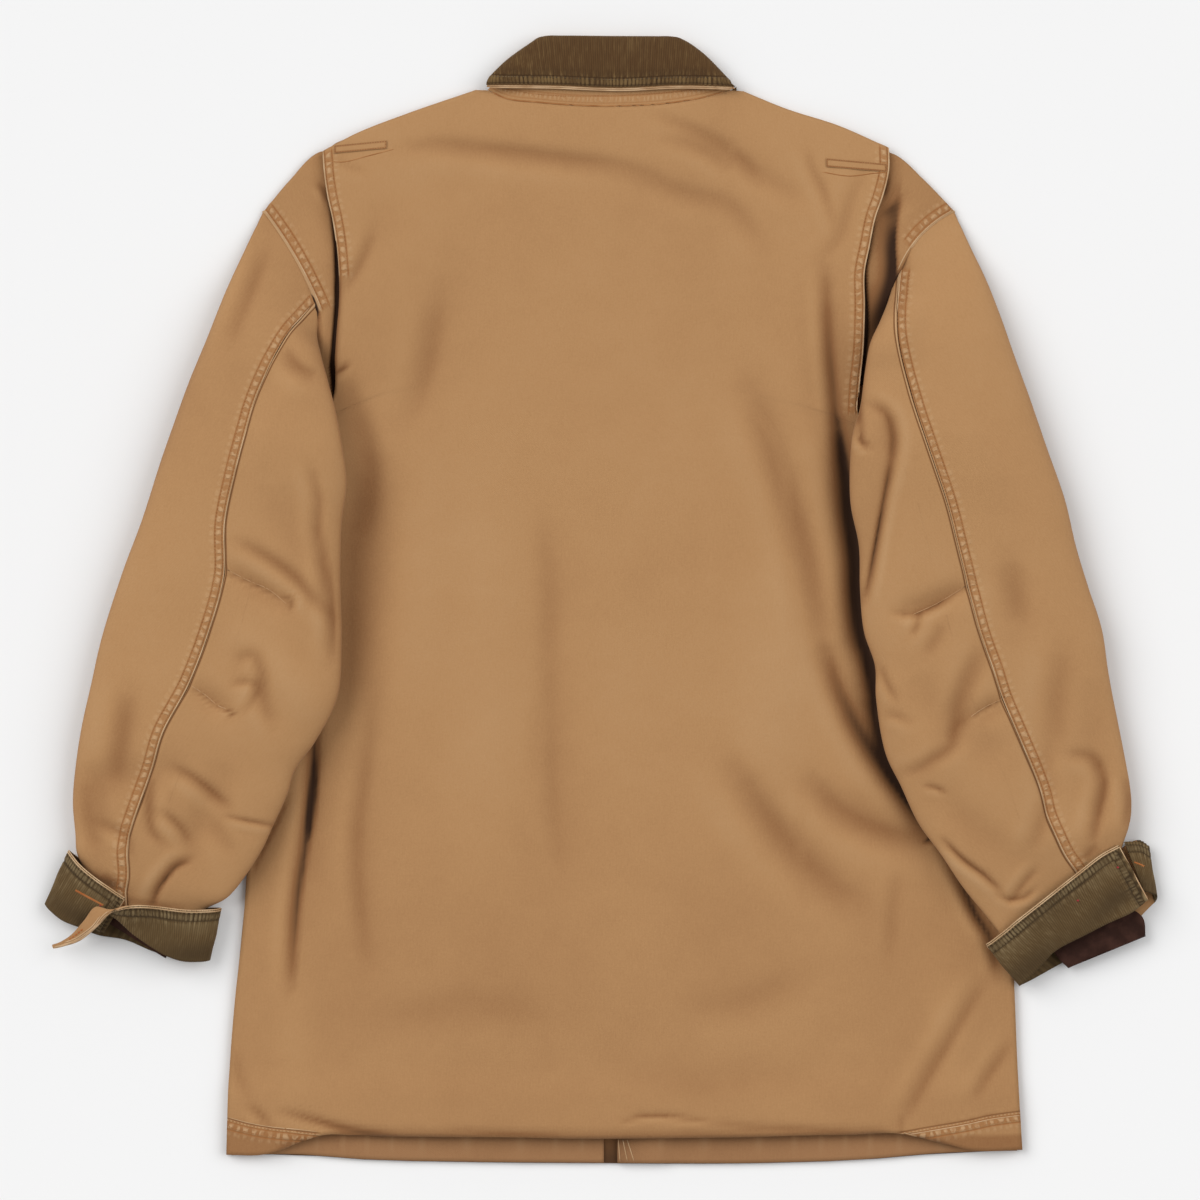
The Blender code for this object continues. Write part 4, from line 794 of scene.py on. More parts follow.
def stitches(places, ways, radius=0.4, sink=0.05):
    """Points and faces of stitches between each pair of neighbouring places.

    Each is a spindle of five sides on three rings: radius * (0.4, 1, 0.4) along the run, the ends sunk.
    """
    start, end = places[:-1], places[1:]
    t = end - start
    length = np.maximum(np.linalg.norm(t, axis=1)[:, None], 1e-3)
    t = t / length
    n = 0.5 * (ways[:-1] + ways[1:])
    b = np.cross(n, t)
    b = b / np.linalg.norm(b, axis=1)[:, None]
    n = np.cross(t, b)
    turn = np.arange(5) * 2 * np.pi / 5
    rings = [(-0.40, 0.45, -0.16), (0.0, 1.0, 0.10), (0.40, 0.45, -0.16)]
    middle = 0.5 * (start + end)
    points = []
    for share, size, rise in rings:
        centre = middle + share * length * t + (rise - sink) * n
        ring = (centre[:, None] + radius * size * (np.cos(turn)[None, :, None] * b[:, None]
                                                  + np.sin(turn)[None, :, None] * n[:, None]))
        points.append(ring)
    points = np.stack(points, axis=1).reshape(-1, 3)
    faces = []
    for k in range(5):
        j = (k + 1) % 5
        faces += [(k, j, 5 + j, 5 + k), (5 + k, 5 + j, 10 + j, 10 + k)]
    caps = [(4, 3, 2, 1, 0), (10, 11, 12, 13, 14)]
    base = 15 * np.arange(len(middle))
    made = [tuple(int(v + s) for v in f) for s in base for f in faces + caps]
    return points, made


def joined(parts):
    """Several lots of points and faces as one."""
    points, faces, start = [], [], 0
    for p, f in parts:
        points.append(p)
        faces += [tuple(v + start for v in face) for face in f]
        start += len(p)
    return np.concatenate(points), faces


def sewing(name, rows, tree, finish, slot="canvas", pitch=STITCH, radius=0.4):
    """Rows of stitches let down onto a piece."""
    parts = []
    for row in rows:
        places, ways = drop(walk(row, pitch), tree)
        parts.append(stitches(places, ways, radius))
    return trim(name, *joined(parts), finish, slot)


def worked_slit(name, line, half, tree, finish, slot="canvas"):
    """Worked slit: a zigzag of stitches, alternately half to the left and to the right of a line."""
    middle = walk(line, 0.55)
    t = np.gradient(middle, axis=0)
    t = t / np.linalg.norm(t, axis=1)[:, None]
    side = half * (1 - 2 * (np.arange(len(middle)) % 2))
    zigzag = middle + side[:, None] * np.column_stack((-t[:, 1], t[:, 0]))
    return trim(name, *stitches(*drop(zigzag, tree), 0.4), finish, slot)


def knots(name, spots, size, tree, finish, slot="canvas"):
    """Small knots of thread at plan points: each a stitch of that size, as thick as it is long."""
    parts = [stitches(*drop(np.array([(x - size, y), (x + size, y)]), tree), 0.8 * size) for x, y in spots]
    return trim(name, *joined(parts), finish, slot)


def roll(places, ways, radius, rise=0.0, sides=6):
    """Closed rounded cord along places, sunk into the cloth by its radius less rise."""
    keep = np.linalg.norm(np.diff(places, axis=0, prepend=places[:1] - 1.0), axis=1) > 0.05
    places, ways = places[keep], ways[keep]
    t = np.gradient(places, axis=0)
    t = t / np.linalg.norm(t, axis=1)[:, None]
    b = np.cross(ways, t)
    b = b / np.linalg.norm(b, axis=1)[:, None]
    n = np.cross(t, b)
    turn = np.arange(sides) * 2 * np.pi / sides
    taper = np.ones(len(places))
    taper[0] = taper[-1] = 0.4
    ring = np.cos(turn)[None, :, None] * b[:, None] + np.sin(turn)[None, :, None] * n[:, None]
    points = (places + rise * n)[:, None] + radius * taper[:, None, None] * ring
    faces = []
    for i in range(len(places) - 1):
        for k in range(sides):
            j = (k + 1) % sides
            faces.append((i * sides + k, i * sides + j, (i + 1) * sides + j, (i + 1) * sides + k))
    last = (len(places) - 1) * sides
    faces.append(tuple(range(sides - 1, -1, -1)))
    faces.append(tuple(last + k for k in range(sides)))
    return points.reshape(-1, 3), faces


def edging(name, lines, tree, finish, radius=0.42, rise=-0.05, slot="canvas"):
    """Worn edges: rounded cords along lines on a piece."""
    parts = [roll(*drop(walk(line, 3.0), tree), radius, rise) for line in lines]
    return trim(name, *joined(parts), finish, slot)


# ---- finishes ----

def node(tree, kind, inputs=None, **settings):
    """A shader node with its settings, its inputs linked or set."""
    made = tree.nodes.new(kind)
    for key, value in settings.items():
        setattr(made, key, value)
    for key, value in (inputs or {}).items():
        socket = made.inputs[key]
        if isinstance(value, bpy.types.NodeSocket):
            tree.links.new(value, socket)
        else:
            socket.default_value = value
    return made


def calc(tree, operation, a, b=0.0, c=0.0):
    """Result of a math node."""
    return node(tree, "ShaderNodeMath", {0: a, 1: b, 2: c}, operation=operation).outputs[0]


def times(tree, a, b):
    """a * b, as a math node."""
    return calc(tree, "MULTIPLY", a, b)


def plus(tree, a, b):
    """a + b, as a math node."""
    return calc(tree, "ADD", a, b)


def less(tree, a, b):
    """a - b, as a math node."""
    return calc(tree, "SUBTRACT", a, b)


def most(tree, a, b):
    """The larger of a and b, as a math node."""
    return calc(tree, "MAXIMUM", a, b)


def window(tree, value, centre, width):
    """1 at centre, falling smoothly to 0 at width from it."""
    away = calc(tree, "ABSOLUTE", less(tree, value, centre))
    made = node(tree, "ShaderNodeMapRange", {"Value": away, "From Min": 0.0, "From Max": width,
                                             "To Min": 1.0, "To Max": 0.0})
    made.interpolation_type = "SMOOTHSTEP"
    return made.outputs[0]


def span(tree, value, low, high, start=0.0, end=1.0):
    """start below low, end above high, a smooth step between."""
    made = node(tree, "ShaderNodeMapRange", {"Value": value, "From Min": low, "From Max": high,
                                             "To Min": start, "To Max": end})
    made.interpolation_type = "SMOOTHSTEP"
    return made.outputs[0]


def noise(tree, vector, scale, detail=2.0, rough=0.5):
    """Soft noise, 0 to 1."""
    return node(tree, "ShaderNodeTexNoise", {"Vector": vector, "Scale": scale, "Detail": detail,
                                             "Roughness": rough}).outputs[0]


def blend(tree, share, a, b):
    """Mix of two colours."""
    made = node(tree, "ShaderNodeMix", {0: share, 6: a, 7: b}, data_type="RGBA")
    return made.outputs[2]


def group(name, inputs, outputs):
    """New node group with its sockets; inputs and outputs are name and kind."""
    made = bpy.data.node_groups.new(name, "ShaderNodeTree")
    for key, kind in inputs:
        made.interface.new_socket(name=key, in_out="INPUT", socket_type=kind)
    for key, kind in outputs:
        made.interface.new_socket(name=key, in_out="OUTPUT", socket_type=kind)
    return made, made.nodes.new("NodeGroupInput"), made.nodes.new("NodeGroupOutput")


def seam_group():
    """Stitched bands: pale worn edge and puckers, deep rows, painted shadow beside the edge, and their height
    in millimetres.
    """
    kinds = [(key, "NodeSocketFloat") for key in ("Distance", "Run", "Near", "Crisp")]
    made, source, out = group("stitched_bands", kinds,
                              [(key, "NodeSocketFloat") for key in ("Pale", "Deep", "EdgeShadow", "Height")])
    d, run, near, crisp = (source.outputs[key] for key, _ in kinds)
    place = node(made, "ShaderNodeCombineXYZ", {0: calc(made, "DIVIDE", run, 9.0),
                                                1: calc(made, "DIVIDE", d, 12.0)}).outputs[0]
    drift = noise(made, place, 1.0, 2.0)
    turn = calc(made, "MULTIPLY_ADD", run, 2 * np.pi / PUCKER, times(made, drift, 9.0))
    pucker = times(made, span(made, calc(made, "SINE", turn), -0.55, 0.35),
                  span(made, noise(made, place, 2.3, 1.0), 0.34, 0.56, 0.25, 1.0))
    inner = window(made, d, 0.5 * (ROWS[0] + ROWS[1]), 3.6)
    beyond = window(made, d, ROWS[1] + 2.6, 3.6)
    rows = most(made, window(made, d, ROWS[0], 1.1), window(made, d, ROWS[1], 1.2))
    edge = times(made, window(made, d, 0.2, 0.8), crisp)
    # Painted shadow just off the band, beside its raised edge.
    under = times(made, window(made, d, -1.2, 1.3), crisp)
    body = window(made, d, 4.2, 5.6)
    patches = times(made, pucker, most(made, inner, times(made, beyond, 0.35)))
    pale = most(made, times(made, patches, 0.55), times(made, edge, 0.6))
    deep = most(made, rows, times(made, under, 0.85))
    deep = most(made, deep, times(made, body, 0.5))
    height = less(made, times(made, patches, 0.6), times(made, rows, 0.4))
    height = less(made, height, times(made, under, 0.3))
    # Painted shadow line beside the raised edge, later blended towards the near-black painted shadow colour.
    dark = times(made, times(made, window(made, d, -1.15, 0.95), crisp), 0.6)
    for key, value in (("Pale", pale), ("Deep", deep), ("EdgeShadow", dark), ("Height", height)):
        made.links.new(times(made, value, near), out.inputs[key])
    return made


def weave_group():
    """Twill: fine diagonal ridges and uneven yarns, from the cloth's own UV in decimetres."""
    made, source, out = group("twill_weave", [("Cloth", "NodeSocketVector")],
                              [("Height", "NodeSocketFloat"), ("Fleck", "NodeSocketFloat")])
    cloth = source.outputs["Cloth"]
    parts = node(made, "ShaderNodeSeparateXYZ", {0: cloth})
    diagonal = plus(made, parts.outputs[0], times(made, parts.outputs[1], 0.9))
    ridge = calc(made, "SINE", times(made, diagonal, 2 * np.pi * 100 / 1.3))
    grain = noise(made, cloth, 55.0, 3.0, 0.6)
    long = node(made, "ShaderNodeMapping", {"Vector": cloth, "Scale": (90.0, 12.0, 1.0)}).outputs[0]
    yarn = noise(made, long, 1.0, 2.0)
    height = plus(made, times(made, ridge, 0.05), times(made, grain, 0.25))
    fleck = plus(made, times(made, grain, 0.6), times(made, yarn, 0.4))
    made.links.new(height, out.inputs["Height"])
    made.links.new(fleck, out.inputs["Fleck"])
    return made


def reading(tree, name):
    """Value that the cloth keeps at its points."""
    return node(tree, "ShaderNodeAttribute", attribute_name=name).outputs["Fac"]


def seam_reading(tree):
    """Stitched bands as they lie on this cloth."""
    return use(tree, SEAMS, {"Distance": reading(tree, "seam"), "Run": reading(tree, "run"),
                             "Near": reading(tree, "near"), "Crisp": reading(tree, "crisp")})


def use(tree, made, inputs):
    """Outputs of a node group with its inputs linked."""
    used = tree.nodes.new("ShaderNodeGroup")
    used.node_tree = made
    for key, value in inputs.items():
        tree.links.new(value, used.inputs[key])
    return used.outputs


def finish(name, rough, sheen=0.0, tint=(1, 1, 1)):
    """A new material with its shader's fixed values set on it."""
    made = bpy.data.materials.new(name)
    made.use_nodes = True
    shader = made.node_tree.nodes["Principled BSDF"]
    shader.inputs["Roughness"].default_value = rough
    shader.inputs["Sheen Weight"].default_value = sheen
    shader.inputs["Sheen Roughness"].default_value = 0.5
    shader.inputs["Sheen Tint"].default_value = (*tint, 1.0)
    shader.inputs["Specular IOR Level"].default_value = 0.3
    return made, made.node_tree, shader


def bump(tree, shader, height, strength, distance):
    """Relief on a finish's normal: strength and distance of a height."""
    made = node(tree, "ShaderNodeBump", {"Height": height, "Strength": strength, "Distance": distance})
    tree.links.new(made.outputs[0], shader.inputs["Normal"])


def layered(tree, colour, layers):
    """A colour with others laid over it in turn; layers are share and colour."""
    for share, tint in layers:
        colour = blend(tree, share, colour, (*tint, 1))
    return colour


def object_place(tree):
    """Place on the object in metres."""
    return node(tree, "ShaderNodeTexCoord").outputs["Object"]


def cloth_place(tree):
    """Place on the cloth, across and along, in decimetres."""
    return node(tree, "ShaderNodeUVMap", uv_map="cloth").outputs[0]


def canvas_finish(name, base, dark, pale):
    """Worn cotton canvas: twill, uneven fading, painted shade in hollows, painted highlight on swells, pale
    edges and puckers.

    A tone of -1 gives the dark colour, and one of -2 or less the near-black painted shadow of a closed fold.
    """
    made, tree, shader = finish(name, 0.88, 0.1, (1.0, 0.8, 0.6))
    cloth = cloth_place(tree)
    weave = use(tree, WEAVE, {"Cloth": cloth})
    seams = seam_reading(tree)
    spot = object_place(tree)
    fading = noise(tree, spot, 7.0, 3.0, 0.55)
    cloudy = noise(tree, spot, 38.0, 4.0, 0.6)
    tone = reading(tree, "tone")
    # The tone is painted shade below zero and painted highlight above it; the noises add the canvas's own
    # uneven fading.
    level = tone
    for unevenness, amount in ((fading, 0.45), (cloudy, 0.25), (weave["Fleck"], 0.7)):
        level = plus(tree, level, times(tree, less(tree, unevenness, 0.5), amount))
    deep = most(tree, times(tree, level, -1.0), 0.0)
    light = most(tree, times(tree, level, 0.45), 0.0)
    # Near-black painted shadow of closed folds and of the line beside raised seam edges.
    gloom = most(tree, span(tree, tone, -0.85, -2.45), seams["EdgeShadow"])
    colour = layered(tree, (*base, 1), ((deep, dark), (light, pale), (seams["Deep"], SEAM_BROWN),
                                        (seams["Pale"], pale), (gloom, PAINTED_SHADOW)))
    tree.links.new(colour, shader.inputs["Base Color"])
    height = plus(tree, seams["Height"], weave["Height"])
    bump(tree, shader, height, 0.8, 0.001)
    return made


def corduroy_finish(name, base, dark, pale):
    """Worn cotton corduroy: dark valleys, ribs rubbed pale in places and most along stitched bands, and the
    tone's painted shade and painted highlight.
    """
    made, tree, shader = finish(name, 0.95, 0.12, (0.8, 0.62, 0.36))
    spot = object_place(tree)
    cloth = cloth_place(tree)
    rib = reading(tree, "rib")
    seams = seam_reading(tree)
    rubbed = span(tree, noise(tree, spot, 30.0, 4.0, 0.65), 0.35, 0.75)
    long = node(tree, "ShaderNodeMapping", {"Vector": cloth, "Scale": (55.0, 9.0, 1.0)}).outputs[0]
    streak = span(tree, noise(tree, long, 1.0, 3.0), 0.35, 0.8)
    wear = times(tree, times(tree, rib, streak), plus(tree, rubbed, 0.2))
    tone = reading(tree, "tone")
    # Negative tone paints shade with the dark colour, positive tone a highlight with the pale one.
    colour = layered(tree, (*dark, 1), (
        (rib, base), (times(tree, wear, 0.5), pale), (times(tree, tone, -1.0), dark),
        (times(tree, tone, 0.6), pale), (times(tree, seams["Deep"], 0.8), dark),
        (times(tree, seams["Pale"], 0.75), pale)))
    tree.links.new(colour, shader.inputs["Base Color"])
    nap = noise(tree, spot, 900.0, 2.0)
    height = plus(tree, seams["Height"], times(tree, nap, 0.12))
    bump(tree, shader, height, 0.7, 0.001)
    return made


def thread_finish(name, colour, worn):
    """Twisted cotton thread, faded here and there."""
    made, tree, shader = finish(name, 0.75, 0.1)
    spot = object_place(tree)
    fade = span(tree, noise(tree, spot, 60.0, 2.0), 0.35, 0.7)
    tree.links.new(blend(tree, fade, (*colour, 1), (*worn, 1)), shader.inputs["Base Color"])
    twist = noise(tree, spot, 1500.0, 2.0)
    bump(tree, shader, twist, 0.5, 0.0003)
    return made


def lining_finish(name, colour, light):
    """Smooth dark lining with soft wrinkles, painted paler where they rise."""
    made, tree, shader = finish(name, 0.75, 0.0)
    shader.inputs["Specular IOR Level"].default_value = 0.12
    spot = object_place(tree)
    wrinkle = noise(tree, spot, 70.0, 3.0, 0.5)
    # Painted highlight: the colour follows the wrinkles' height, lighter where they rise.
    shade = span(tree, wrinkle, 0.35, 0.7)
    tree.links.new(blend(tree, shade, (*colour, 1), (*light, 1)), shader.inputs["Base Color"])
    bump(tree, shader, wrinkle, 0.6, 0.004)
    return made


REACH = 24.0              # how far from its line a seam's fields are kept
PUCKER = 6.5              # pitch of the puckers between two rows
SEAM_BROWN = (0.30, 0.118, 0.033)
# Near-black colour of painted shadow in closed folds, narrow hollows and beside raised seam edges.
PAINTED_SHADOW = (0.026, 0.008, 0.001)
COAT = bpy.data.collections.new("coat_looks")
bpy.context.scene.collection.children.link(COAT)
SEAMS = seam_group()
WEAVE = weave_group()
CANVAS = canvas_finish("canvas_worn", (0.412, 0.221, 0.092), (0.25, 0.112, 0.04), (0.60, 0.40, 0.22))
CANVAS_EDGE = thread_finish("canvas_worn_edge", (0.44, 0.268, 0.135), (0.59, 0.405, 0.235))
CANVAS_LINE = thread_finish("canvas_pressed_line", (0.40, 0.22, 0.097), (0.47, 0.28, 0.14))
CANVAS_HEM = canvas_finish("canvas_hem", (0.31, 0.155, 0.066), (0.17, 0.075, 0.028), (0.44, 0.27, 0.14))
CORD_COLLAR = corduroy_finish("corduroy_collar", (0.085, 0.040, 0.0115), (0.044, 0.020, 0.006),
                              (0.215, 0.132, 0.05))
CORD_CUFF = corduroy_finish("corduroy_cuff", (0.108, 0.063, 0.022), (0.046, 0.026, 0.009),
                            (0.25, 0.18, 0.09))
THREAD = thread_finish("thread_brown", (0.30, 0.115, 0.028), (0.42, 0.20, 0.07))
THREAD_DARK = thread_finish("thread_olive", (0.06, 0.04, 0.018), (0.16, 0.11, 0.055))
THREAD_ORANGE = thread_finish("thread_orange", (0.36, 0.095, 0.015), (0.45, 0.16, 0.04))
THREAD_RED = thread_finish("thread_red", (0.25, 0.015, 0.015), (0.32, 0.03, 0.03))
LINING = lining_finish("lining_brown", (0.026, 0.0095, 0.006), (0.052, 0.021, 0.014))


# ---- back and gussets ----

def torso_painted_shading(x, y):
    """Painted shade in hollows and in the shadow of the sleeves, darker towards the hem; painted highlight on
    swells.
    """
    hollow = relief(x, y, TORSO_FOLDS) / 13.0
    side = np.maximum(inside_distance(x, y), 0.0)
    beside = np.exp(-(side / 36.0)**2) * smooth(y, -260, -120) * (1 - smooth(y, 120, 220))
    low = 0.16 * (1 - smooth(y, -330, -60)) + 0.12 * smooth(x, 160, 300) * (1 - smooth(y, -260, -150))
    return hollow - 0.25 * beside - low


def at_hem(x, y):
    """1 at the back's turned-under edge between its corners, gone within some millimetres."""
    hem_y = np.interp(x, *np.array(HEM_BACK).T)
    return np.exp(-((y - hem_y) / 5.0)**2) * smooth(x, -232, -206) * (1 - smooth(x, 218, 244))


def below_row(x, y, row, bent):
    """1 below a corner's stitched row, where the cloth's turned-up reverse shows."""
    p = np.array(row)
    level = np.interp(x, p[:, 0], p[:, 1])
    end = np.abs(p[:, 0]).min()
    return smooth(bent * x, end - 8, end + 6) * (1 - smooth(y - level, -3.0, -0.8))


def eased(height, y, low, high, times):
    """Heights with each row drawn to the mean of its neighbours, times over, between two levels of y."""
    calm = height.copy()
    for _ in range(times):
        calm[1:-1] = 0.25 * calm[:-2] + 0.5 * calm[1:-1] + 0.25 * calm[2:]
    share = smooth(y, low, low + 60) * (1 - smooth(y, high - 60, high))
    return height + share * (calm - height)


def back_piece():
    """The back: a patch between its edges, at its rest height with creases, welts and rolled hem."""
    left_shoulder = along([PLEAT_SHOWN_LEFT[0]] + SHOULDER_LEFT[3:], np.linspace(0, 1, 44))
    right_shoulder = along(SHOULDER_RIGHT[:2:-1] + [PLEAT_RIGHT[0]], np.linspace(0, 1, 44))
    neck = along(NECK_LOWER, np.linspace(0.0, 1.0, 84)) - np.array([0.0, GAP])
    top = np.concatenate((left_shoulder, neck, right_shoulder))
    left_edge = along(PLEAT_SHOWN_LEFT + SIDE_LEFT, np.linspace(0, 1, 244))
    plan = patch(top, HEM_BACK, left_edge, PLEAT_RIGHT + SIDE_RIGHT)
    x, y = plan[..., 0], plan[..., 1]
    lines = [(PLEAT_SHOWN_LEFT[:6], 1, 1.0), (PLEAT_RIGHT, -1, 1.0), (HEM_ROW_LEFT, -1, 0.7),
             (HEM_ROW_RIGHT, 1, 0.7)]
    seam = seam_field(x, y, lines)
    rolled = at_hem(x, y)
    lift, shade = creases(x, y, CREASES_TORSO)
    lift = lift * smooth(np.maximum(inside_distance(x, y), 0.0), 0, 8)
    rest = eased(back_height(x, y), y, 20, 330, 50)
    height = soft_max(rest + lift, WALL + GAP + 0.8) + welt(seam) - 2.6 * rolled
    height = soft_max(height, 4.5 * smooth(-y, 380, 405), 0.6)
    # Painted shade along the left pleat's shown edge, where the gap lies.
    edge = 1.3 * np.exp(-((x - edge_x(y, PLEAT_SHOWN_LEFT)) / 2.2)**2) * smooth(y, 165, 200) * (
        1 - smooth(y, 268, 300))
    corner = below_row(x, y, HEM_ROW_LEFT, -1) + below_row(x, y, HEM_ROW_RIGHT, 1)
    # Painted shade on the rolled hem and along the left pleat's edge; the corners darker below their rows.
    tone = np.clip(torso_painted_shading(x, y) + shade - 0.7 * rolled - edge - 0.6 * corner, DEEPEST, 1)
    grid = raised(plan, height)
    return shell("back_panel", grid, up(grid), WALL, CANVAS, ["back"], seam, tone)


def gusset_piece(name, pleat, table, armpit, side):
    """Gusset with some cloth more at its armpit, under the sleeve, and a hollow along the pleat, sunk and
    darkened with painted shade.
    """
    away = np.sign(pleat[0][0])
    seam_line = armhole_line(table, ARMHOLE_GAP)
    outer = np.concatenate((seam_line, armpit_points(armpit, away)[1:4]))
    outer = walk(outer, 2.5)
    shoulder = SHOULDER_LEFT if away < 0 else SHOULDER_RIGHT
    inner = [(x - away * GUSSET_UNDERLAP, y) for x, y in pleat if y > GUSSET_END + 5]
    inner.append((inner[-1][0], GUSSET_END))
    top = along([outer[0]] + [(x, y - 0.5) for x, y in shoulder[1:3]] + [inner[0]], np.linspace(0, 1, 66))
    plan = patch(top, [outer[-1], inner[-1]], outer, inner)
    x, y = plan[..., 0], plan[..., 1]
    from_pleat = away * (x - edge_x(y, PLEAT_SHOWN_LEFT if away < 0 else pleat))
    below = smooth(-from_pleat, 0, 0.6 * GUSSET_UNDERLAP)
    seam = seam_field(x, y, [(seam_line[:ARMHOLE_SEWN[side]], side, 1.0)])
    height = np.maximum(rest_height(x, y) - UNDERLAP_DROP * below, WALL + GAP)
    hollow = np.interp(y, *np.array(HOLLOW_LEFT if away < 0 else HOLLOW_RIGHT).T)
    dark = 2.6 * (1 - smooth(from_pleat - hollow, -0.7, 0.9))
    lift, shade = creases(x, y, CREASES_GUSSETS)
    height = np.maximum(height - dark + lift, WALL + GAP) + (1 - below) * welt(seam)
    # Painted shade beside the pleat's edge, and darker all over, more on the right.
    beside = 0.35 * np.exp(-(from_pleat / 9.0)**2) + (0.12 if away < 0 else 0.3)
    tone = np.clip(shade - beside - dark, DEEPEST, 1)
    down = -plan[:, :1, 1]
    reach = ARMPIT_CLOTH * smooth(down, -252, -236) + UNDERARM * smooth(down, -236, -214)
    extra = np.linspace(1.0, 0.25, 4)[None]
    more = plan[:, :1] + np.stack((away * (reach + 0.8) * extra, 0 * reach * extra), axis=-1)
    below = np.maximum(height[:, :1] - (0.35 * reach + 1.2) * extra, 1.5)
    height = np.concatenate((below, height), axis=1)
    # Painted shade on the cloth that goes on under the sleeve.
    tone = np.concatenate((tone[:, :1] - 2.0 * smooth(reach, 0, 3) - 0.8 * extra, tone), axis=1)
    seam = {key: np.concatenate((values[:, :1] + 0 * extra, values), axis=1) for key, values in seam.items()}
    grid = raised(np.concatenate((more, plan), axis=1), height)
    return shell(name + "_panel", grid, up(grid), WALL, CANVAS, [name], seam, tone)


def neck_piece():
    """Neck strip: straight lines between its two edges, at the level of what it lies on."""
    lower = along(NECK_LOWER, np.linspace(0.0, 1.0, 140))
    upper = along(NECK_UPPER, np.linspace(0.0, 1.0, 140))
    v = np.linspace(0, 1, 14)[:, None, None]
    plan = lower[None] * (1 - v) + upper[None] * v
    x, y = plan[..., 0], plan[..., 1]
    seam = seam_field(x, y, [(NECK_ROW, 1, 0.0)])
    seam["run"] = 1.7 * seam["run"]
    seam["near"] = 0.5 * seam["near"]
    tone = -0.3 * np.exp(-((y - np.interp(x, *np.array(NECK_SEAM).T)) / 1.5)**2)
    grid = raised(plan, rest_height(x, y))
    return shell("neck_band", grid, up(grid), WALL, CANVAS, ["neck_strip"], seam, tone)


# ---- collar ----

def ribbed(grid, outward, amount):
    """Grid with ribs raised along its columns, and how high on a rib each point is."""
    step = np.linalg.norm(np.diff(grid, axis=1, prepend=grid[:, :1]), axis=-1)
    run = np.cumsum(step.mean(axis=0))
    rib = np.abs(np.sin(np.pi * run / RIB))
    rib = np.broadcast_to(rib, grid.shape[:2])
    return grid + (amount * rib)[..., None] * normals_of(grid, outward), rib


def gathers(run, distance, row):
    """Gathers between an edge and a stitch row, and streaks past the row.

    Gathers are sin(2 pi run / pitch + drift) in a window from the edge to the row; streaks are the
    highest of slower waves, cubed, fading past the row.
    """
    turn = 2 * np.pi * run / GATHER + 2.2 * np.sin(run / 8.3) + 1.4 * np.sin(run / 3.9)
    uneven = 0.65 + 0.35 * np.sin(run / 5.7 + 1.9 * np.sin(run / 13.0))
    window_ = smooth(distance, 0.2, 1.2) * (1 - smooth(distance, row - 0.9, row - 0.2))
    slow = np.maximum(np.sin(run / 0.93 + 2.5 * np.sin(run / 6.1)), 0.0)**3
    tail = smooth(distance, row + 0.4, row + 1.2) * np.exp(-np.maximum(distance - row - 1.0, 0) / 3.6)
    return np.sin(turn) * uneven * window_, slow * uneven * tail


def collar_pieces():
    """Fall of the collar, the canvas under it and the stand, along the section of the fall."""
    section = along(FALL_SECTION, np.linspace(0, 1, 40), by_row=True)
    share, height = section[:, 0][:, None], section[:, 1][:, None]
    u = np.linspace(0.0, 1.0, 640)
    free, fold = along(COLLAR_FREE, u) + np.array([0.0, 1.0]), along(COLLAR_TOP, u)
    plan = free[None] + share[..., None] * (fold - free)[None]
    grid = raised(plan, np.broadcast_to(height + 0.9, plan.shape[:2]))
    from_row = plan[..., 1] - free[None, :, 1] - COLLAR_ROW
    grid[..., 2] -= 0.5 * np.exp(-(from_row / 1.0)**2) * (share > 0.02)
    heart = np.column_stack((free + 0.8 * (fold - free), np.full(len(u), 9.0)))
    outward = grid - heart[None]
    from_free = np.linalg.norm(plan - free[None], axis=-1)
    top_side = np.arange(len(section))[:, None] > len(section) * 0.5
    run = np.broadcast_to(np.arange(len(u)) * 2.0 * 200.0 / len(u), from_free.shape)
    seam = {"seam": from_free, "run": run, "near": 1.0 * top_side * (from_free < REACH) + 0 * run,
            "crisp": 0.0 * run}
    tone = 0.3 * np.exp(-(from_free / 1.2)**2) - 0.45 * np.exp(-((from_free - 10.5) / 3.0)**2)
    gathered, streaks = gathers(0.5 * run, from_free, COLLAR_ROW)
    grid[..., 2] += 0.35 * gathered * top_side
    # Painted light and shade on the gathers, and pale streaks past the row.
    tone = tone + (1.9 * gathered + 1.7 * streaks) * top_side
    grid, rib = ribbed(grid, outward, RIB_HEIGHT)
    collar = shell("collar_corduroy", grid, outward, COLLAR_WALL, CORD_COLLAR, ["collar_fall"],
                   seam, tone, {"rib": rib})

    u = np.linspace(0.0, 1.0, 110)
    free, fold = along(COLLAR_FREE, u) - np.array([0.0, 1.0]), along(COLLAR_TOP, u)
    plan = free[None] + share[..., None] * (fold - free)[None]
    grid = raised(plan, np.broadcast_to(height, plan.shape[:2]))
    heart = np.column_stack((free + 0.8 * (fold - free), np.full(len(u), 9.0)))
    under = shell("undercollar", grid, grid - heart[None], CORD_WALL, CANVAS, [])

    start = along(NECK_UPPER, np.linspace(0.0, 1.0, 90))[3:-3] + np.array([0.0, GAP])
    v = np.linspace(0.0, 1.0, 12)[:, None, None]
    u = np.linspace(0.0, 1.0, 90)[3:-3]
    free, fold = along(COLLAR_FREE, u), along(COLLAR_FOLD, u)
    end = free + (FALL_SECTION[0][0] - STAND_SHORT) * (fold - free)
    plan = start[None] * (1 - v) + end[None] * v
    low, high, way_up = rest_height(start[:, 0], start[:, 1])[None], FALL_SECTION[0][1] - WALL, v[..., 0]
    grid = raised(plan, low * (1 - way_up) + high * way_up)
    shell("collar_stand_panel", grid, up(grid), WALL, CANVAS, ["collar_stand"])
    return collar, under


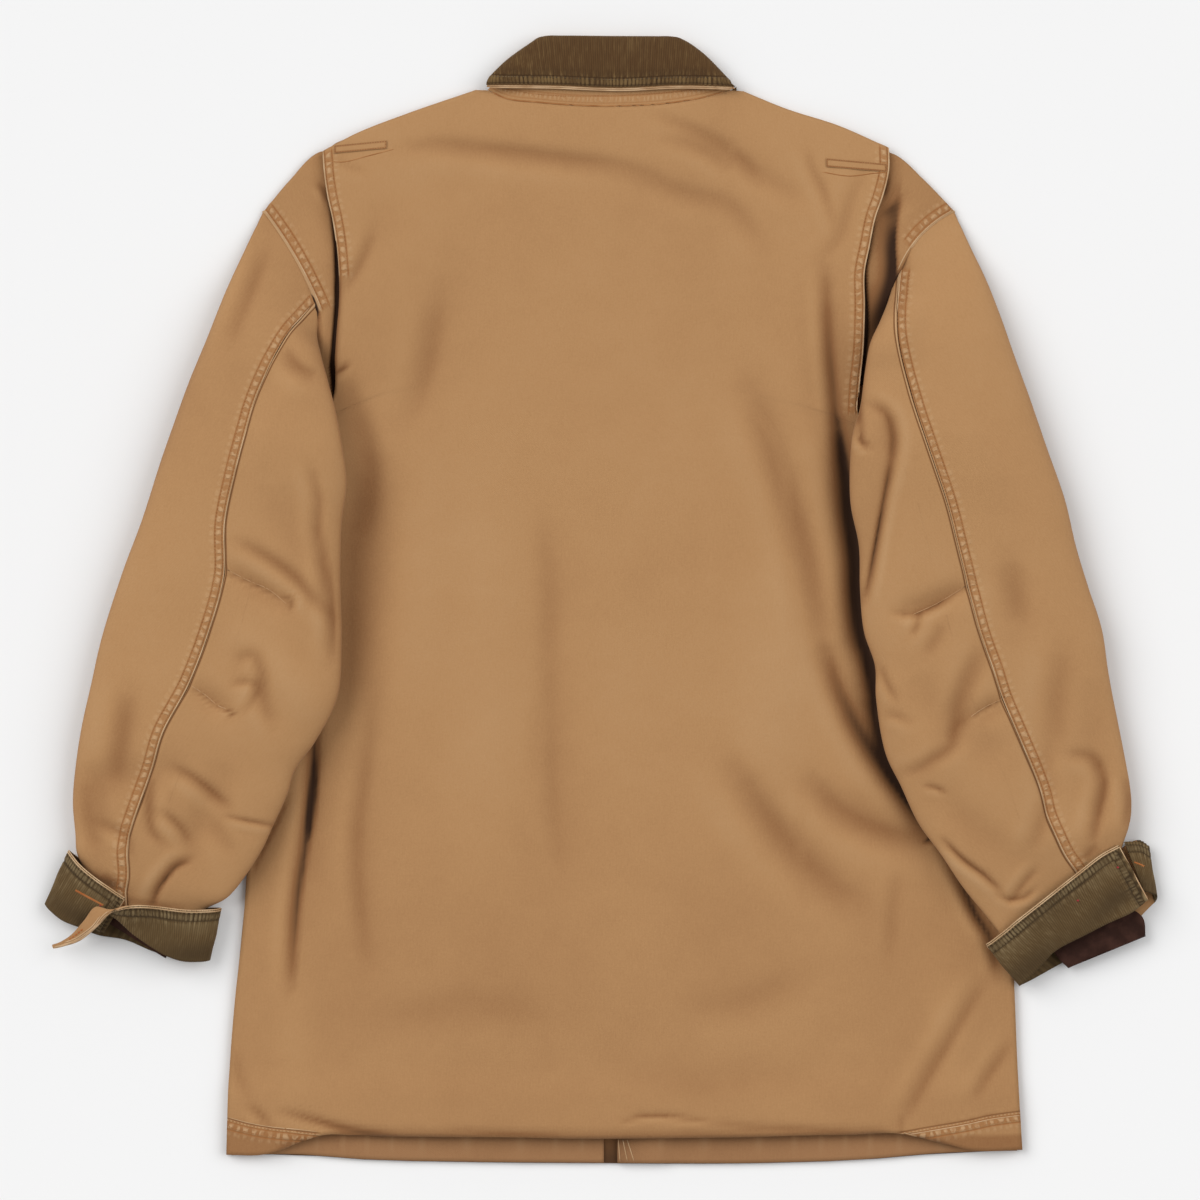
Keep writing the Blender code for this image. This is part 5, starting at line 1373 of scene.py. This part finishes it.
def collar_front_piece(name, sign):
    """Hidden end of the collar, flat between the neckline and its outer edge."""
    outer = walk(front_neck_points(1)[1:], 3.0)
    inner = along(COLLAR_END, np.linspace(0.0, 1.0, len(outer)))
    v = np.linspace(COLLAR_GAP_SHARE, 1, 14)[:, None, None]
    plan = outer[None] * (1 - v) + inner[None] * v - np.array([COLLAR_MIDDLE_GAP, 0.0])
    plan = np.stack((MIDDLE_X + sign * (plan[..., 0] - MIDDLE_X), plan[..., 1]), axis=-1)
    grid = raised(plan, np.zeros(plan.shape[:2]))
    rib = np.abs(np.sin(np.pi * plan[..., 0] / RIB))
    shell(name + "_panel", grid, up(grid), WALL, CORD_COLLAR, [name], extra={"rib": rib})


def tab_piece(name, corners):
    """Stitched strip by a shoulder, a flat patch just above the back, darker at its edges."""
    p = np.asarray(corners, float)
    u = np.linspace(0, 1, 90)[:, None]
    side = p[0] + np.linspace(0, 1, 20)[:, None] * (p[3] - p[0])
    plan = patch(p[0] + u * (p[1] - p[0]), [p[3], p[2]], side, [p[1], p[2]])
    x, y = plan[..., 0], plan[..., 1]
    grid = raised(plan, back_height(x, y) + WALL + 0.35)
    inside = np.full(x.shape, 99.0)
    for k in range(4):
        edge = p[(k + 1) % 4] - p[k]
        level = ((x - p[k, 0]) * edge[1] - (y - p[k, 1]) * edge[0]) / np.hypot(*edge)
        inside = np.minimum(inside, np.abs(level))
    tone = -0.06 - 1.25 * np.exp(-((inside - 0.75) / 0.55)**2)
    return shell(name + "_panel", grid, up(grid), TAB_WALL, CANVAS, [name], None, tone)


# ---- fronts ----

def front_piece(name, edge, armpit, shoulder, table, centre_x, sign):
    """Flat front; the right-hand one steps up over the other along the lap."""
    side = np.array([point for point in edge if point[1] < 120])
    outer = np.concatenate((armhole_line(table, ARMHOLE_GAP), armpit_points(armpit, -sign)[1:-1],
                            along(side, np.linspace(0, 1, 9))))
    neck = front_neck_points(sign)[1:]
    shoulder_points = along([outer[0]] + shoulder[1:], np.linspace(0, 1, 6))
    flat_x = max(centre_x, LAP_RAMP[1]) if sign < 0 else MIDDLE_X - 2.0
    beside = neck[np.abs(neck[:, 0] - MIDDLE_X) > abs(flat_x - MIDDLE_X) + 2.0]
    top = np.concatenate((shoulder_points, beside, [(flat_x, neck_level(flat_x, sign))]))
    hem = along(HEM_FRONT, np.linspace(0, 1, 60))
    keep = hem[hem[:, 0] < flat_x - 6] if sign > 0 else hem[hem[:, 0] > flat_x + 6][::-1]
    bottom = np.concatenate(([outer[-1]], keep[1:], [(flat_x, hem_level(flat_x))]))
    plan = patch(top, bottom, outer, [top[-1], bottom[-1]])
    rest = [LAP_RAMP[0], centre_x] if sign < 0 else [centre_x]
    shares = shares_of(outer)
    columns = [plan]
    for x in rest:
        y_top, y_low = neck_level(x, sign), hem_level(x)
        columns.append(np.column_stack((np.full(len(shares), x), y_top + shares * (y_low - y_top)))[:, None])
    plan = np.concatenate(columns, axis=1)
    step = np.zeros(plan.shape[:2])
    if sign < 0:
        step = (WALL + GAP) * (1 - smooth(plan[..., 0], *LAP_RAMP))
    grid = raised(plan, step)
    # Painted shade: darker all over where it shows through gaps, darkest towards the hem.
    tone = -0.5 - 1.3 * (1 - smooth(plan[..., 1], -436, -430))
    return shell(name + "_panel", grid, up(grid), WALL, CANVAS, [name], None, tone)


def front_hem_piece(name, xs, level_at):
    """Turned-up hem of a front: straight lines up from its edge, with ripples, pale streaks and painted
    shadow under the back's hem.
    """
    hem = along(HEM_FRONT, np.linspace(0, 1, 200))
    lower = np.interp(xs, hem[:, 0], hem[:, 1]) + 0.4
    rows = np.linspace(0.0, 1.0, 14)[:, None]
    y = lower[None] + rows * (HEM_BAND_TOP - lower)[None]
    x = np.broadcast_to(xs, y.shape)
    plan = np.stack((x, y), axis=-1)
    ripple = 0.35 * np.sin(x / 5.3 + 1.5 * np.sin(x / 17.0)) * smooth(-y, 430, 455)
    grid = raised(plan, level_at(x) + np.maximum(ripple, 0))
    streak = np.maximum(np.sin(x / 4.4 + 3.0 * np.sin(x / 31.0)), 0.0)**6
    # Painted shadow under the back's hem edge, and towards the gap at the middle.
    tone = 0.5 * streak * np.exp(-((y + 438) / 9.0)**2) - 0.4 * np.exp(-((y + 435) / 3.0)**2)
    tone = tone - 1.3 * np.exp(-((x - 8.5) / 5.0)**4)
    return shell(name + "_band", grid, up(grid), HEM_WALL, CANVAS_HEM, [name], None, tone)


# ---- sleeves ----

def seam_on_top(table):
    """The back seam's line in plan, from the stations' outer and inner points and its share."""
    rows = along(table, np.linspace(0, 1, 60), by_row=True)
    share = rows[:, 4:5]
    return rows[:, 0:2] + share * (rows[:, 2:4] - rows[:, 0:2])


def sleeve_pieces(side_name, table, band_turn, seam_line):
    """The two pieces of a sleeve from its stations' sections, and the ring of points at its end."""
    stations, columns = SLEEVE_GRID
    rows = along(table, np.linspace(0, 1, stations), by_row=True)
    made, ends = {}, []
    for name, turn in (("sleeve_outer_" + side_name, -1), ("sleeve_inner_" + side_name, 1)):
        grid, heart = [], []
        for row in rows:
            width = 0.5 * np.hypot(row[2] - row[0], row[3] - row[1])
            crack = 0.5 * 0.15 / width
            top = np.arccos(np.clip(1 - 2 * row[4], -1, 1))
            below = 1.5 * np.pi + FRONT_SEAM
            if turn < 0:
                angle = np.linspace(top - crack, below - 2 * np.pi + crack, columns)
            else:
                angle = np.linspace(top + crack, below - crack, columns)
            section = sleeve_section(row, angle)
            grid.append(section)
            centre = sleeve_section(row, np.array([0.5 * np.pi, 1.5 * np.pi])).mean(axis=0)
            heart.append(np.broadcast_to(centre, section.shape))
        grid, heart = np.array(grid), np.array(heart)
        outward = grid - heart
        x, y = grid[..., 0], grid[..., 1]
        ways = normals_of(grid, outward)
        upper = smooth(ways[..., 2], 0.0, 0.35)
        seam = seam_field(x, y, [(seam_line, band_turn, 1.0)])
        seam["near"] = seam["near"] * (upper > 0.5)
        lift, shade = creases(x, y, CREASES_SLEEVES)
        grid = grid + ((welt(seam) + 1.35 * lift) * upper)[..., None] * np.array([0, 0, 1.0])
        # Painted shade in the folds and creases, painted highlight on swells; darker on the upper left
        # sleeve.
        tone = (np.clip(relief(x, y, SLEEVE_FOLDS) / 16.0, -1, 1) + 1.6 * shade) * upper
        tone = tone - 0.15 * smooth(y, 40, 200) * (1 - smooth(x, -240, -200)) * upper
        # Painted shade on the sides that turn away from above.
        tone = np.clip(tone - 0.42 * (1 - smooth(ways[..., 2], 0.1, 0.85)), DEEPEST, 1)
        made[name] = shell(name + "_panel", grid, outward, WALL, CANVAS, [name], seam, tone)
        ends.append(grid[-1])
    return made, np.concatenate(ends)


# ---- cuffs ----

def cuff_grid(table, columns, steps):
    """The strip between a cuff's edges: points, and directions of its outer side."""
    rows = along(table, np.linspace(0, 1, columns), by_row=True)
    v = np.linspace(0, 1, steps)[:, None, None]
    upper, lower = rows[:, :3], rows[:, 3:]
    grid = upper[None] * (1 - v) + lower[None] * v
    grid[..., 2] += CUFF_LIFT + floor_height(grid[..., 0], grid[..., 1]) * smooth(inside_distance(
        grid[..., 0], grid[..., 1]), -RAMP - 1, -RAMP)
    outward = np.cross(lower - upper, np.gradient(upper, axis=0))
    first = slice(columns // 40, columns // 12)
    return grid, np.broadcast_to(outward * np.sign(outward[first, 2].sum()), grid.shape)


def cuff_pieces(side_name, table, columns, facing_from, facing_to, cords_to, end_cord):
    """Corduroy outside, corduroy and canvas inside, and two rubbed cords along the upper edge."""
    name = "cuff_" + side_name
    grid, outward = cuff_grid(table, CUFF_COLUMNS, 10)
    spacing = CUFF_COLUMNS / (len(table) - 1.0)
    start, stop = int(facing_from * spacing), int(facing_to * spacing)
    made = {}
    # The cuff's inner side gets painted shade (deep).
    for part, low, high, cloth, slot, deep in (
            ("_inside", 0, start + 1, CORD_CUFF, "corduroy", -0.35),
            ("_facing", start, min(stop + 1, CUFF_COLUMNS), CANVAS, "canvas", -0.1),
            ("_inside_end", stop, CUFF_COLUMNS, CORD_CUFF, "corduroy", -0.35)):
        if high - low > 2:
            rib = np.broadcast_to(np.abs(np.sin(np.arange(low, high) * 0.9)), (10, high - low))
            made[part] = shell(name + part, grid[:, low:high], outward[:, low:high], CORD_WALL, cloth,
                               [], None, np.full(rib.shape, deep), {"rib": rib})
    grid, outward = cuff_grid(table, columns, 22)
    ways = normals_of(grid, outward)
    down = np.linalg.norm(grid - grid[:1], axis=-1)
    run = np.cumsum(np.linalg.norm(np.diff(grid[0], axis=0, prepend=grid[0][:1]), axis=1))
    run = np.broadcast_to(run, down.shape)
    grid = grid + 0.9 * ways
    edge_grid, edge_ways = grid[:3], ways[0]
    from_edge, along_it = np.minimum(down, run), np.where(down < run, run, down)
    dents = 0.45 * (np.exp(-((from_edge - CUFF_ROWS[0]) / 0.9)**2)
                    + np.exp(-((from_edge - CUFF_ROWS[1]) / 1.0)**2))
    gathered, streaks = gathers(along_it, from_edge, CUFF_ROWS[1])
    fold = 0.5 * np.sin(run / 11.0 + 1.3 * np.sin(down / 9.0)) * smooth(down, 10, 24)
    rise = 0.35 * gathered + 0.2 * streaks - dents + fold
    outer, rib = ribbed(grid + rise[..., None] * ways, outward, RIB_HEIGHT)
    seam = {"seam": from_edge - CUFF_ROWS[0] + ROWS[0], "run": 2.0 * along_it,
            "near": (from_edge < REACH) + 0.0 * run, "crisp": 0.0 * run}
    tone = 0.25 * np.sin(run / 17.0 + 0.7) * np.sin(down / 7.0) - 0.5 * np.exp(-((down - 38) / 10.0)**2)
    # Painted light and shade on the gathers, and painted shade in the rows' dents.
    tone = tone + 1.5 * gathered + 1.3 * streaks - 2.2 * dents
    made["outer"] = shell(name + "_corduroy", outer, outward, CORD_WALL, CORD_CUFF,
                          [name], seam, tone, {"rib": rib})
    step, shown = max(columns // 360, 1), int(cords_to * columns)
    lines = []
    for apart, radius, rise in ((0.0, 0.62, 0.45), (1.35, 0.6, 0.7)):
        inward = grid[5] - grid[0]
        middle = edge_grid[0] + apart * inward / np.maximum(np.linalg.norm(inward, axis=1)[:, None], 0.5)
        lines.append(roll(middle[:shown:step], edge_ways[:shown:step], radius, rise, 6))
    lines.append(roll(grid[:end_cord, 0], ways[:end_cord, 0], 0.55, 0.5, 6))
    if cords_to == 1.0:
        lines.append(roll(grid[:, -1], ways[:, -1], 0.55, 0.5, 6))
    trim(name + "_edge", *joined(lines), CANVAS_EDGE, "canvas")
    return made


def turn_piece(name, table, first, last, end):
    """Cloth between a cuff's folded edge and the sleeve's end, as straight lines between the two.

    It runs from the table's row first to its row last, under the cuff's upper side alone.
    Each point of the fold is led to the nearest point of the sleeve's last ring, the run of those
    points drawn to the mean of its neighbours six times over.
    """
    spacing = CUFF_COLUMNS / (len(table) - 1.0)
    edge = cuff_grid(table, CUFF_COLUMNS, 10)[0][-1][int(first * spacing):int(last * spacing)]
    target = end[np.linalg.norm(edge[:, None] - end[None], axis=2).argmin(axis=1)]
    for _ in range(6):
        target[1:-1] = 0.25 * target[:-2] + 0.5 * target[1:-1] + 0.25 * target[2:]
    way = target - edge
    start = edge + 1.4 * way / np.linalg.norm(way, axis=1)[:, None]
    v = np.linspace(0, 1, 8)[:, None, None]
    grid = start * (1 - v) + target * v
    outward = np.broadcast_to(edge - end.mean(axis=0), grid.shape)
    # Painted shade under the cuff.
    return shell(name, grid, outward, TURN_WALL, CANVAS, [], None, np.full(grid.shape[:2], -0.5))


def inner_cuff_piece(name, table):
    """Inner cuff: flattened rings, rise = |sin|^0.6, along its stations, with wrinkles on top."""
    rows = along(table, np.linspace(0, 1, 40), by_row=True)
    angle = np.linspace(-0.5 * np.pi + 0.03, 1.5 * np.pi - 0.03, 120)
    grid, heart = [], []
    for ox, oy, ix, iy, low, high in rows:
        across = -np.cos(angle)[:, None]
        plan = np.array([(ox + ix) / 2, (oy + iy) / 2]) + across * np.array([ix - ox, iy - oy]) / 2
        rise = np.sin(angle)
        z = (low + high) / 2 + (high - low) / 2 * np.sign(rise) * np.abs(rise)**0.6
        section = np.column_stack((plan, z))
        grid.append(section)
        heart.append(np.broadcast_to(section.mean(axis=0), section.shape))
    grid, heart = np.array(grid), np.array(heart)
    wrinkle = 0.35 * np.sin(9 * angle + 2 * np.sin(5 * angle))[None] * np.linspace(1, 0.3, 40)[:, None]
    grid[..., 2] += wrinkle * smooth(np.sin(angle), 0.1, 0.6)[None]
    return shell(name + "_lining", grid, grid - heart, LINING_WALL, LINING, [name])


# ---- making ----

back = back_piece()
back_tree = tree_of(back)
gusset_left = gusset_piece("pleat_gusset_left", PLEAT_LEFT, SLEEVE_LEFT, ARMPIT_LEFT, 1)
gusset_right = gusset_piece("pleat_gusset_right", PLEAT_RIGHT, SLEEVE_RIGHT, ARMPIT_RIGHT, -1)
neck = neck_piece()
collar, undercollar = collar_pieces()
collar_front_piece("collar_front_left", 1)
collar_front_piece("collar_front_right", -1)
tab_left = tab_piece("shoulder_tab_left", TAB_LEFT)
tab_right = tab_piece("shoulder_tab_right", TAB_RIGHT)
upper_edge, lower_edge = CENTRE_LAP
front_piece("front_left", TORSO_EDGE_LEFT, ARMPIT_LEFT, SHOULDER_LEFT, SLEEVE_LEFT, lower_edge, 1)
front_piece("front_right", TORSO_EDGE_RIGHT, ARMPIT_RIGHT, SHOULDER_RIGHT, SLEEVE_RIGHT, upper_edge, -1)
on_front = WALL + GAP
front_hem_piece("front_hem_left", np.linspace(-299, 3, 140), lambda x: np.full(x.shape, on_front))
right_xs = np.concatenate(([upper_edge + 0.5], np.linspace(LAP_RAMP[0], 338, 140)))
hem_right = front_hem_piece("front_hem_right", right_xs,
                            lambda x: on_front + on_front * (1 - smooth(x, *LAP_RAMP)))
seam_left, seam_right = seam_on_top(SLEEVE_LEFT), seam_on_top(SLEEVE_RIGHT)
left, end_left = sleeve_pieces("left", SLEEVE_LEFT, -1, seam_left)
right, end_right = sleeve_pieces("right", SLEEVE_RIGHT, 1, seam_right)
cuff_left = cuff_pieces("left", CUFF_LEFT, 900, 13.5, 20.0, 1.0, 9)
cuff_right = cuff_pieces("right", CUFF_RIGHT, 760, 10.0, 13.0, 0.55, 22)
turn_piece("cuff_left_turn", CUFF_LEFT, 10.5, 15.3, end_left)
turn_piece("cuff_left_turn_end", CUFF_LEFT, 0.0, 4.5, end_left)
turn_piece("cuff_right_turn", CUFF_RIGHT, 0.0, 5.3, end_right)
inner_cuff_piece("inner_cuff_left", INNER_CUFF_LEFT)
inner_cuff_piece("inner_cuff_right", INNER_CUFF_RIGHT)

# Sewing and worn edges.
outer_left, outer_right = tree_of(left["sleeve_outer_left"]), tree_of(right["sleeve_outer_right"])
inner_left, inner_right = tree_of(left["sleeve_inner_left"]), tree_of(right["sleeve_inner_right"])
sewing("sewing_sleeve_left", [offset(seam_left, -r) for r in ROWS], outer_left, THREAD)
sewing("sewing_sleeve_right", [offset(seam_right, r) for r in ROWS], outer_right, THREAD)
edging("edge_sleeve_left", [offset(seam_left, -0.3)], outer_left, CANVAS_EDGE)
edging("edge_sleeve_right", [offset(seam_right, 0.3)], outer_right, CANVAS_EDGE)
edging("darts_left", DARTS_LEFT, inner_left, CANVAS_LINE, 0.45, -0.22)
edging("darts_right", DARTS_RIGHT, inner_right, CANVAS_LINE, 0.45, -0.22)
sewing("sewing_pleats", [offset(PLEAT_SHOWN_LEFT[:6], r) for r in ROWS]
       + [offset(PLEAT_RIGHT, -r) for r in ROWS], back_tree, THREAD)
edging("edge_pleats", [offset(PLEAT_SHOWN_LEFT[:5], 0.4), offset(PLEAT_RIGHT, -0.4)], back_tree, CANVAS_EDGE,
       0.6)
for name, made, table, bent in (("left", gusset_left, SLEEVE_LEFT, 1),
                                ("right", gusset_right, SLEEVE_RIGHT, -1)):
    armhole = armhole_line(table, ARMHOLE_GAP)
    gusset_tree = tree_of(made)
    shown = armhole[:ARMHOLE_SEWN[bent]]
    sewing("sewing_armhole_" + name, [offset(shown, bent * r) for r in ROWS], gusset_tree, THREAD)
    edging("edge_armhole_" + name, [offset(armhole, bent * 0.35)], gusset_tree, CANVAS_EDGE, 0.5)
for name, made, corners, under in (("left", tab_left, TAB_LEFT, TAB_UNDER_LEFT),
                                   ("right", tab_right, TAB_RIGHT, TAB_UNDER_RIGHT)):
    box = 0.96 * np.array(corners) + 0.04 * np.mean(corners, axis=0)
    box[:2, 1] -= 0.7
    box[2:, 1] += 0.7
    sides = [box[[k, (k + 1) % 4]] for k in range(4)]
    sewing("sewing_tab_" + name, sides, tree_of(made), THREAD, pitch=2.0, radius=0.5)
    # A raised cord for the fold's edge under the tab, coloured dark as its painted shadow line.
    edging("fold_shadow_under_tab_" + name, [under], back_tree, THREAD, 0.45, -0.1)
sewing("sewing_hem", [HEM_ROW_LEFT, HEM_ROW_RIGHT], back_tree, THREAD)
sewing("sewing_hem_corners", [offset(HEM_ROW_LEFT, -5.5)[:-8], offset(HEM_ROW_RIGHT, 5.5)[:-8]], back_tree,
       THREAD, pitch=3.4, radius=0.34)
edging("ridge_hem", [offset(HEM_ROW_LEFT, 2.0), offset(HEM_ROW_RIGHT, 2.0)], back_tree, CANVAS_EDGE, 0.36)
neck_tree = tree_of(neck)
edging("neck_lower_seam", [offset(NECK_LOWER, -0.15)], neck_tree, THREAD, 0.7, 0.15)
sewing("sewing_neck_band", [NECK_SEAM], neck_tree, THREAD, pitch=2.0, radius=0.5)
free_edge = along(COLLAR_FREE, np.linspace(0.0, 1.0, 60))
rim, rim_ways = drop(walk(free_edge - np.array([0.0, 0.35]), 3.0), tree_of(undercollar))
trim("collar_rim", *joined([roll(rim + np.array([0.0, -drop_y, -0.3 * drop_y]), rim_ways, 0.56)
                            for drop_y in (0.0, 1.3)]), CANVAS_EDGE, "canvas")
sewing("sewing_collar", [offset(COLLAR_FREE, COLLAR_ROW)], tree_of(collar), THREAD_DARK, "corduroy", 2.4)
edging("facing_ribs", FACING_RIBS, tree_of(hem_right), CANVAS_EDGE, 0.42)
facing_tree = tree_of(cuff_left["_facing"])
left_tree = tree_of(cuff_left["outer"])
worked_slit("buttonhole_left", [(-424.6, -235.2), (-413.3, -241.2), (-402, -247.3)], 1.4, left_tree,
            THREAD_ORANGE)
sewing("sewing_cuff_left", [[(-430.5, -275.2), (-424, -270.9), (-418.5, -266.4)]], facing_tree, THREAD_ORANGE,
       radius=0.9)
edging("tab_cords", [TAB_EDGE, offset(TAB_EDGE, -1.5)[:-2], offset(TAB_EDGE, -2.9)[-14:-3]], facing_tree,
       CANVAS_EDGE, 0.6, 0.15)
knots("knot_left", [(-404.4, -247.4)], 1.0, left_tree, THREAD_RED)
right_tree = tree_of(cuff_right["outer"])
worked_slit("buttonhole_right", [(432.3, -212.5), (436.4, -214), (440.4, -215.8)], 1.2, right_tree,
            THREAD_ORANGE)
knots("knots_right", [(418.6, -216.6), (386.2, -243.3)], 1.3, right_tree, THREAD_RED)
knots("tufts_right", [(404.8, -198.8), (417.8, -196.4)], 0.8, right_tree, CANVAS_EDGE)


CAMERA_HEIGHT = 8.0       # metres above the floor
CAMERA_PLACE = (-0.00044, -0.00132)   # of the camera over the coat, in metres
SUBJECT_HEIGHT = 0.012    # level at which the view is VIEW_WIDTH wide, in metres
VIEW_WIDTH = 0.972
SENSOR = 36.0             # width of the camera's sensor in millimetres
FLOOR_HALF = 4.0          # half the side of the floor, in metres
FLOOR_LEVEL = -0.0005


def light(name, kind, place, aim, energy, **settings):
    """A light at a place, turned towards its aim."""
    made = bpy.data.lights.new(name, kind)
    made.energy = energy
    for key, value in settings.items():
        setattr(made, key, value)
    obj = bpy.data.objects.new(name, made)
    bpy.context.scene.collection.objects.link(obj)
    obj.location = place
    way = Vector(aim) - Vector(place)
    obj.rotation_euler = way.to_track_quat("-Z", "Y").to_euler()
    return obj


def studio():
    """Pale floor, wide soft lights and the camera straight above."""
    mesh = bpy.data.meshes.new("floor")
    corners = [(x * FLOOR_HALF, y * FLOOR_HALF, FLOOR_LEVEL) for x, y in ((-1, -1), (1, -1), (1, 1), (-1, 1))]
    mesh.from_pydata(corners, [], [(0, 1, 2, 3)])
    floor = bpy.data.objects.new("floor", mesh)
    bpy.context.scene.collection.objects.link(floor)
    made, tree, shader = finish("floor_pale", 0.95)
    spot = object_place(tree)
    shade = blend(tree, noise(tree, spot, 3.0, 2.0), (0.835, 0.835, 0.835, 1), (0.845, 0.845, 0.845, 1))
    tree.links.new(shade, shader.inputs["Base Color"])
    mesh.materials.append(made)
    world = bpy.data.worlds.new("studio")
    world.use_nodes = True
    world.node_tree.nodes["Background"].inputs[0].default_value = (1, 1, 1, 1)
    world.node_tree.nodes["Background"].inputs[1].default_value = 0.45
    bpy.context.scene.world = world
    light("key", "SUN", (-2.0, 1.2, 2.1), (0, 0, 0), 1.75, angle=0.8)
    light("fill", "SUN", (2.0, 0.6, 2.0), (0, 0, 0), 1.2, angle=0.9)
    camera = bpy.data.cameras.new("camera")
    camera.lens = SENSOR * (CAMERA_HEIGHT - SUBJECT_HEIGHT) / VIEW_WIDTH
    camera.sensor_width = SENSOR
    obj = bpy.data.objects.new("camera", camera)
    obj.location = (*CAMERA_PLACE, CAMERA_HEIGHT)
    camera.clip_end = 50.0
    bpy.context.scene.collection.objects.link(obj)
    bpy.context.scene.camera = obj
    bpy.context.scene.view_settings.view_transform = "Standard"
    bpy.context.scene.view_settings.look = "None"


studio()
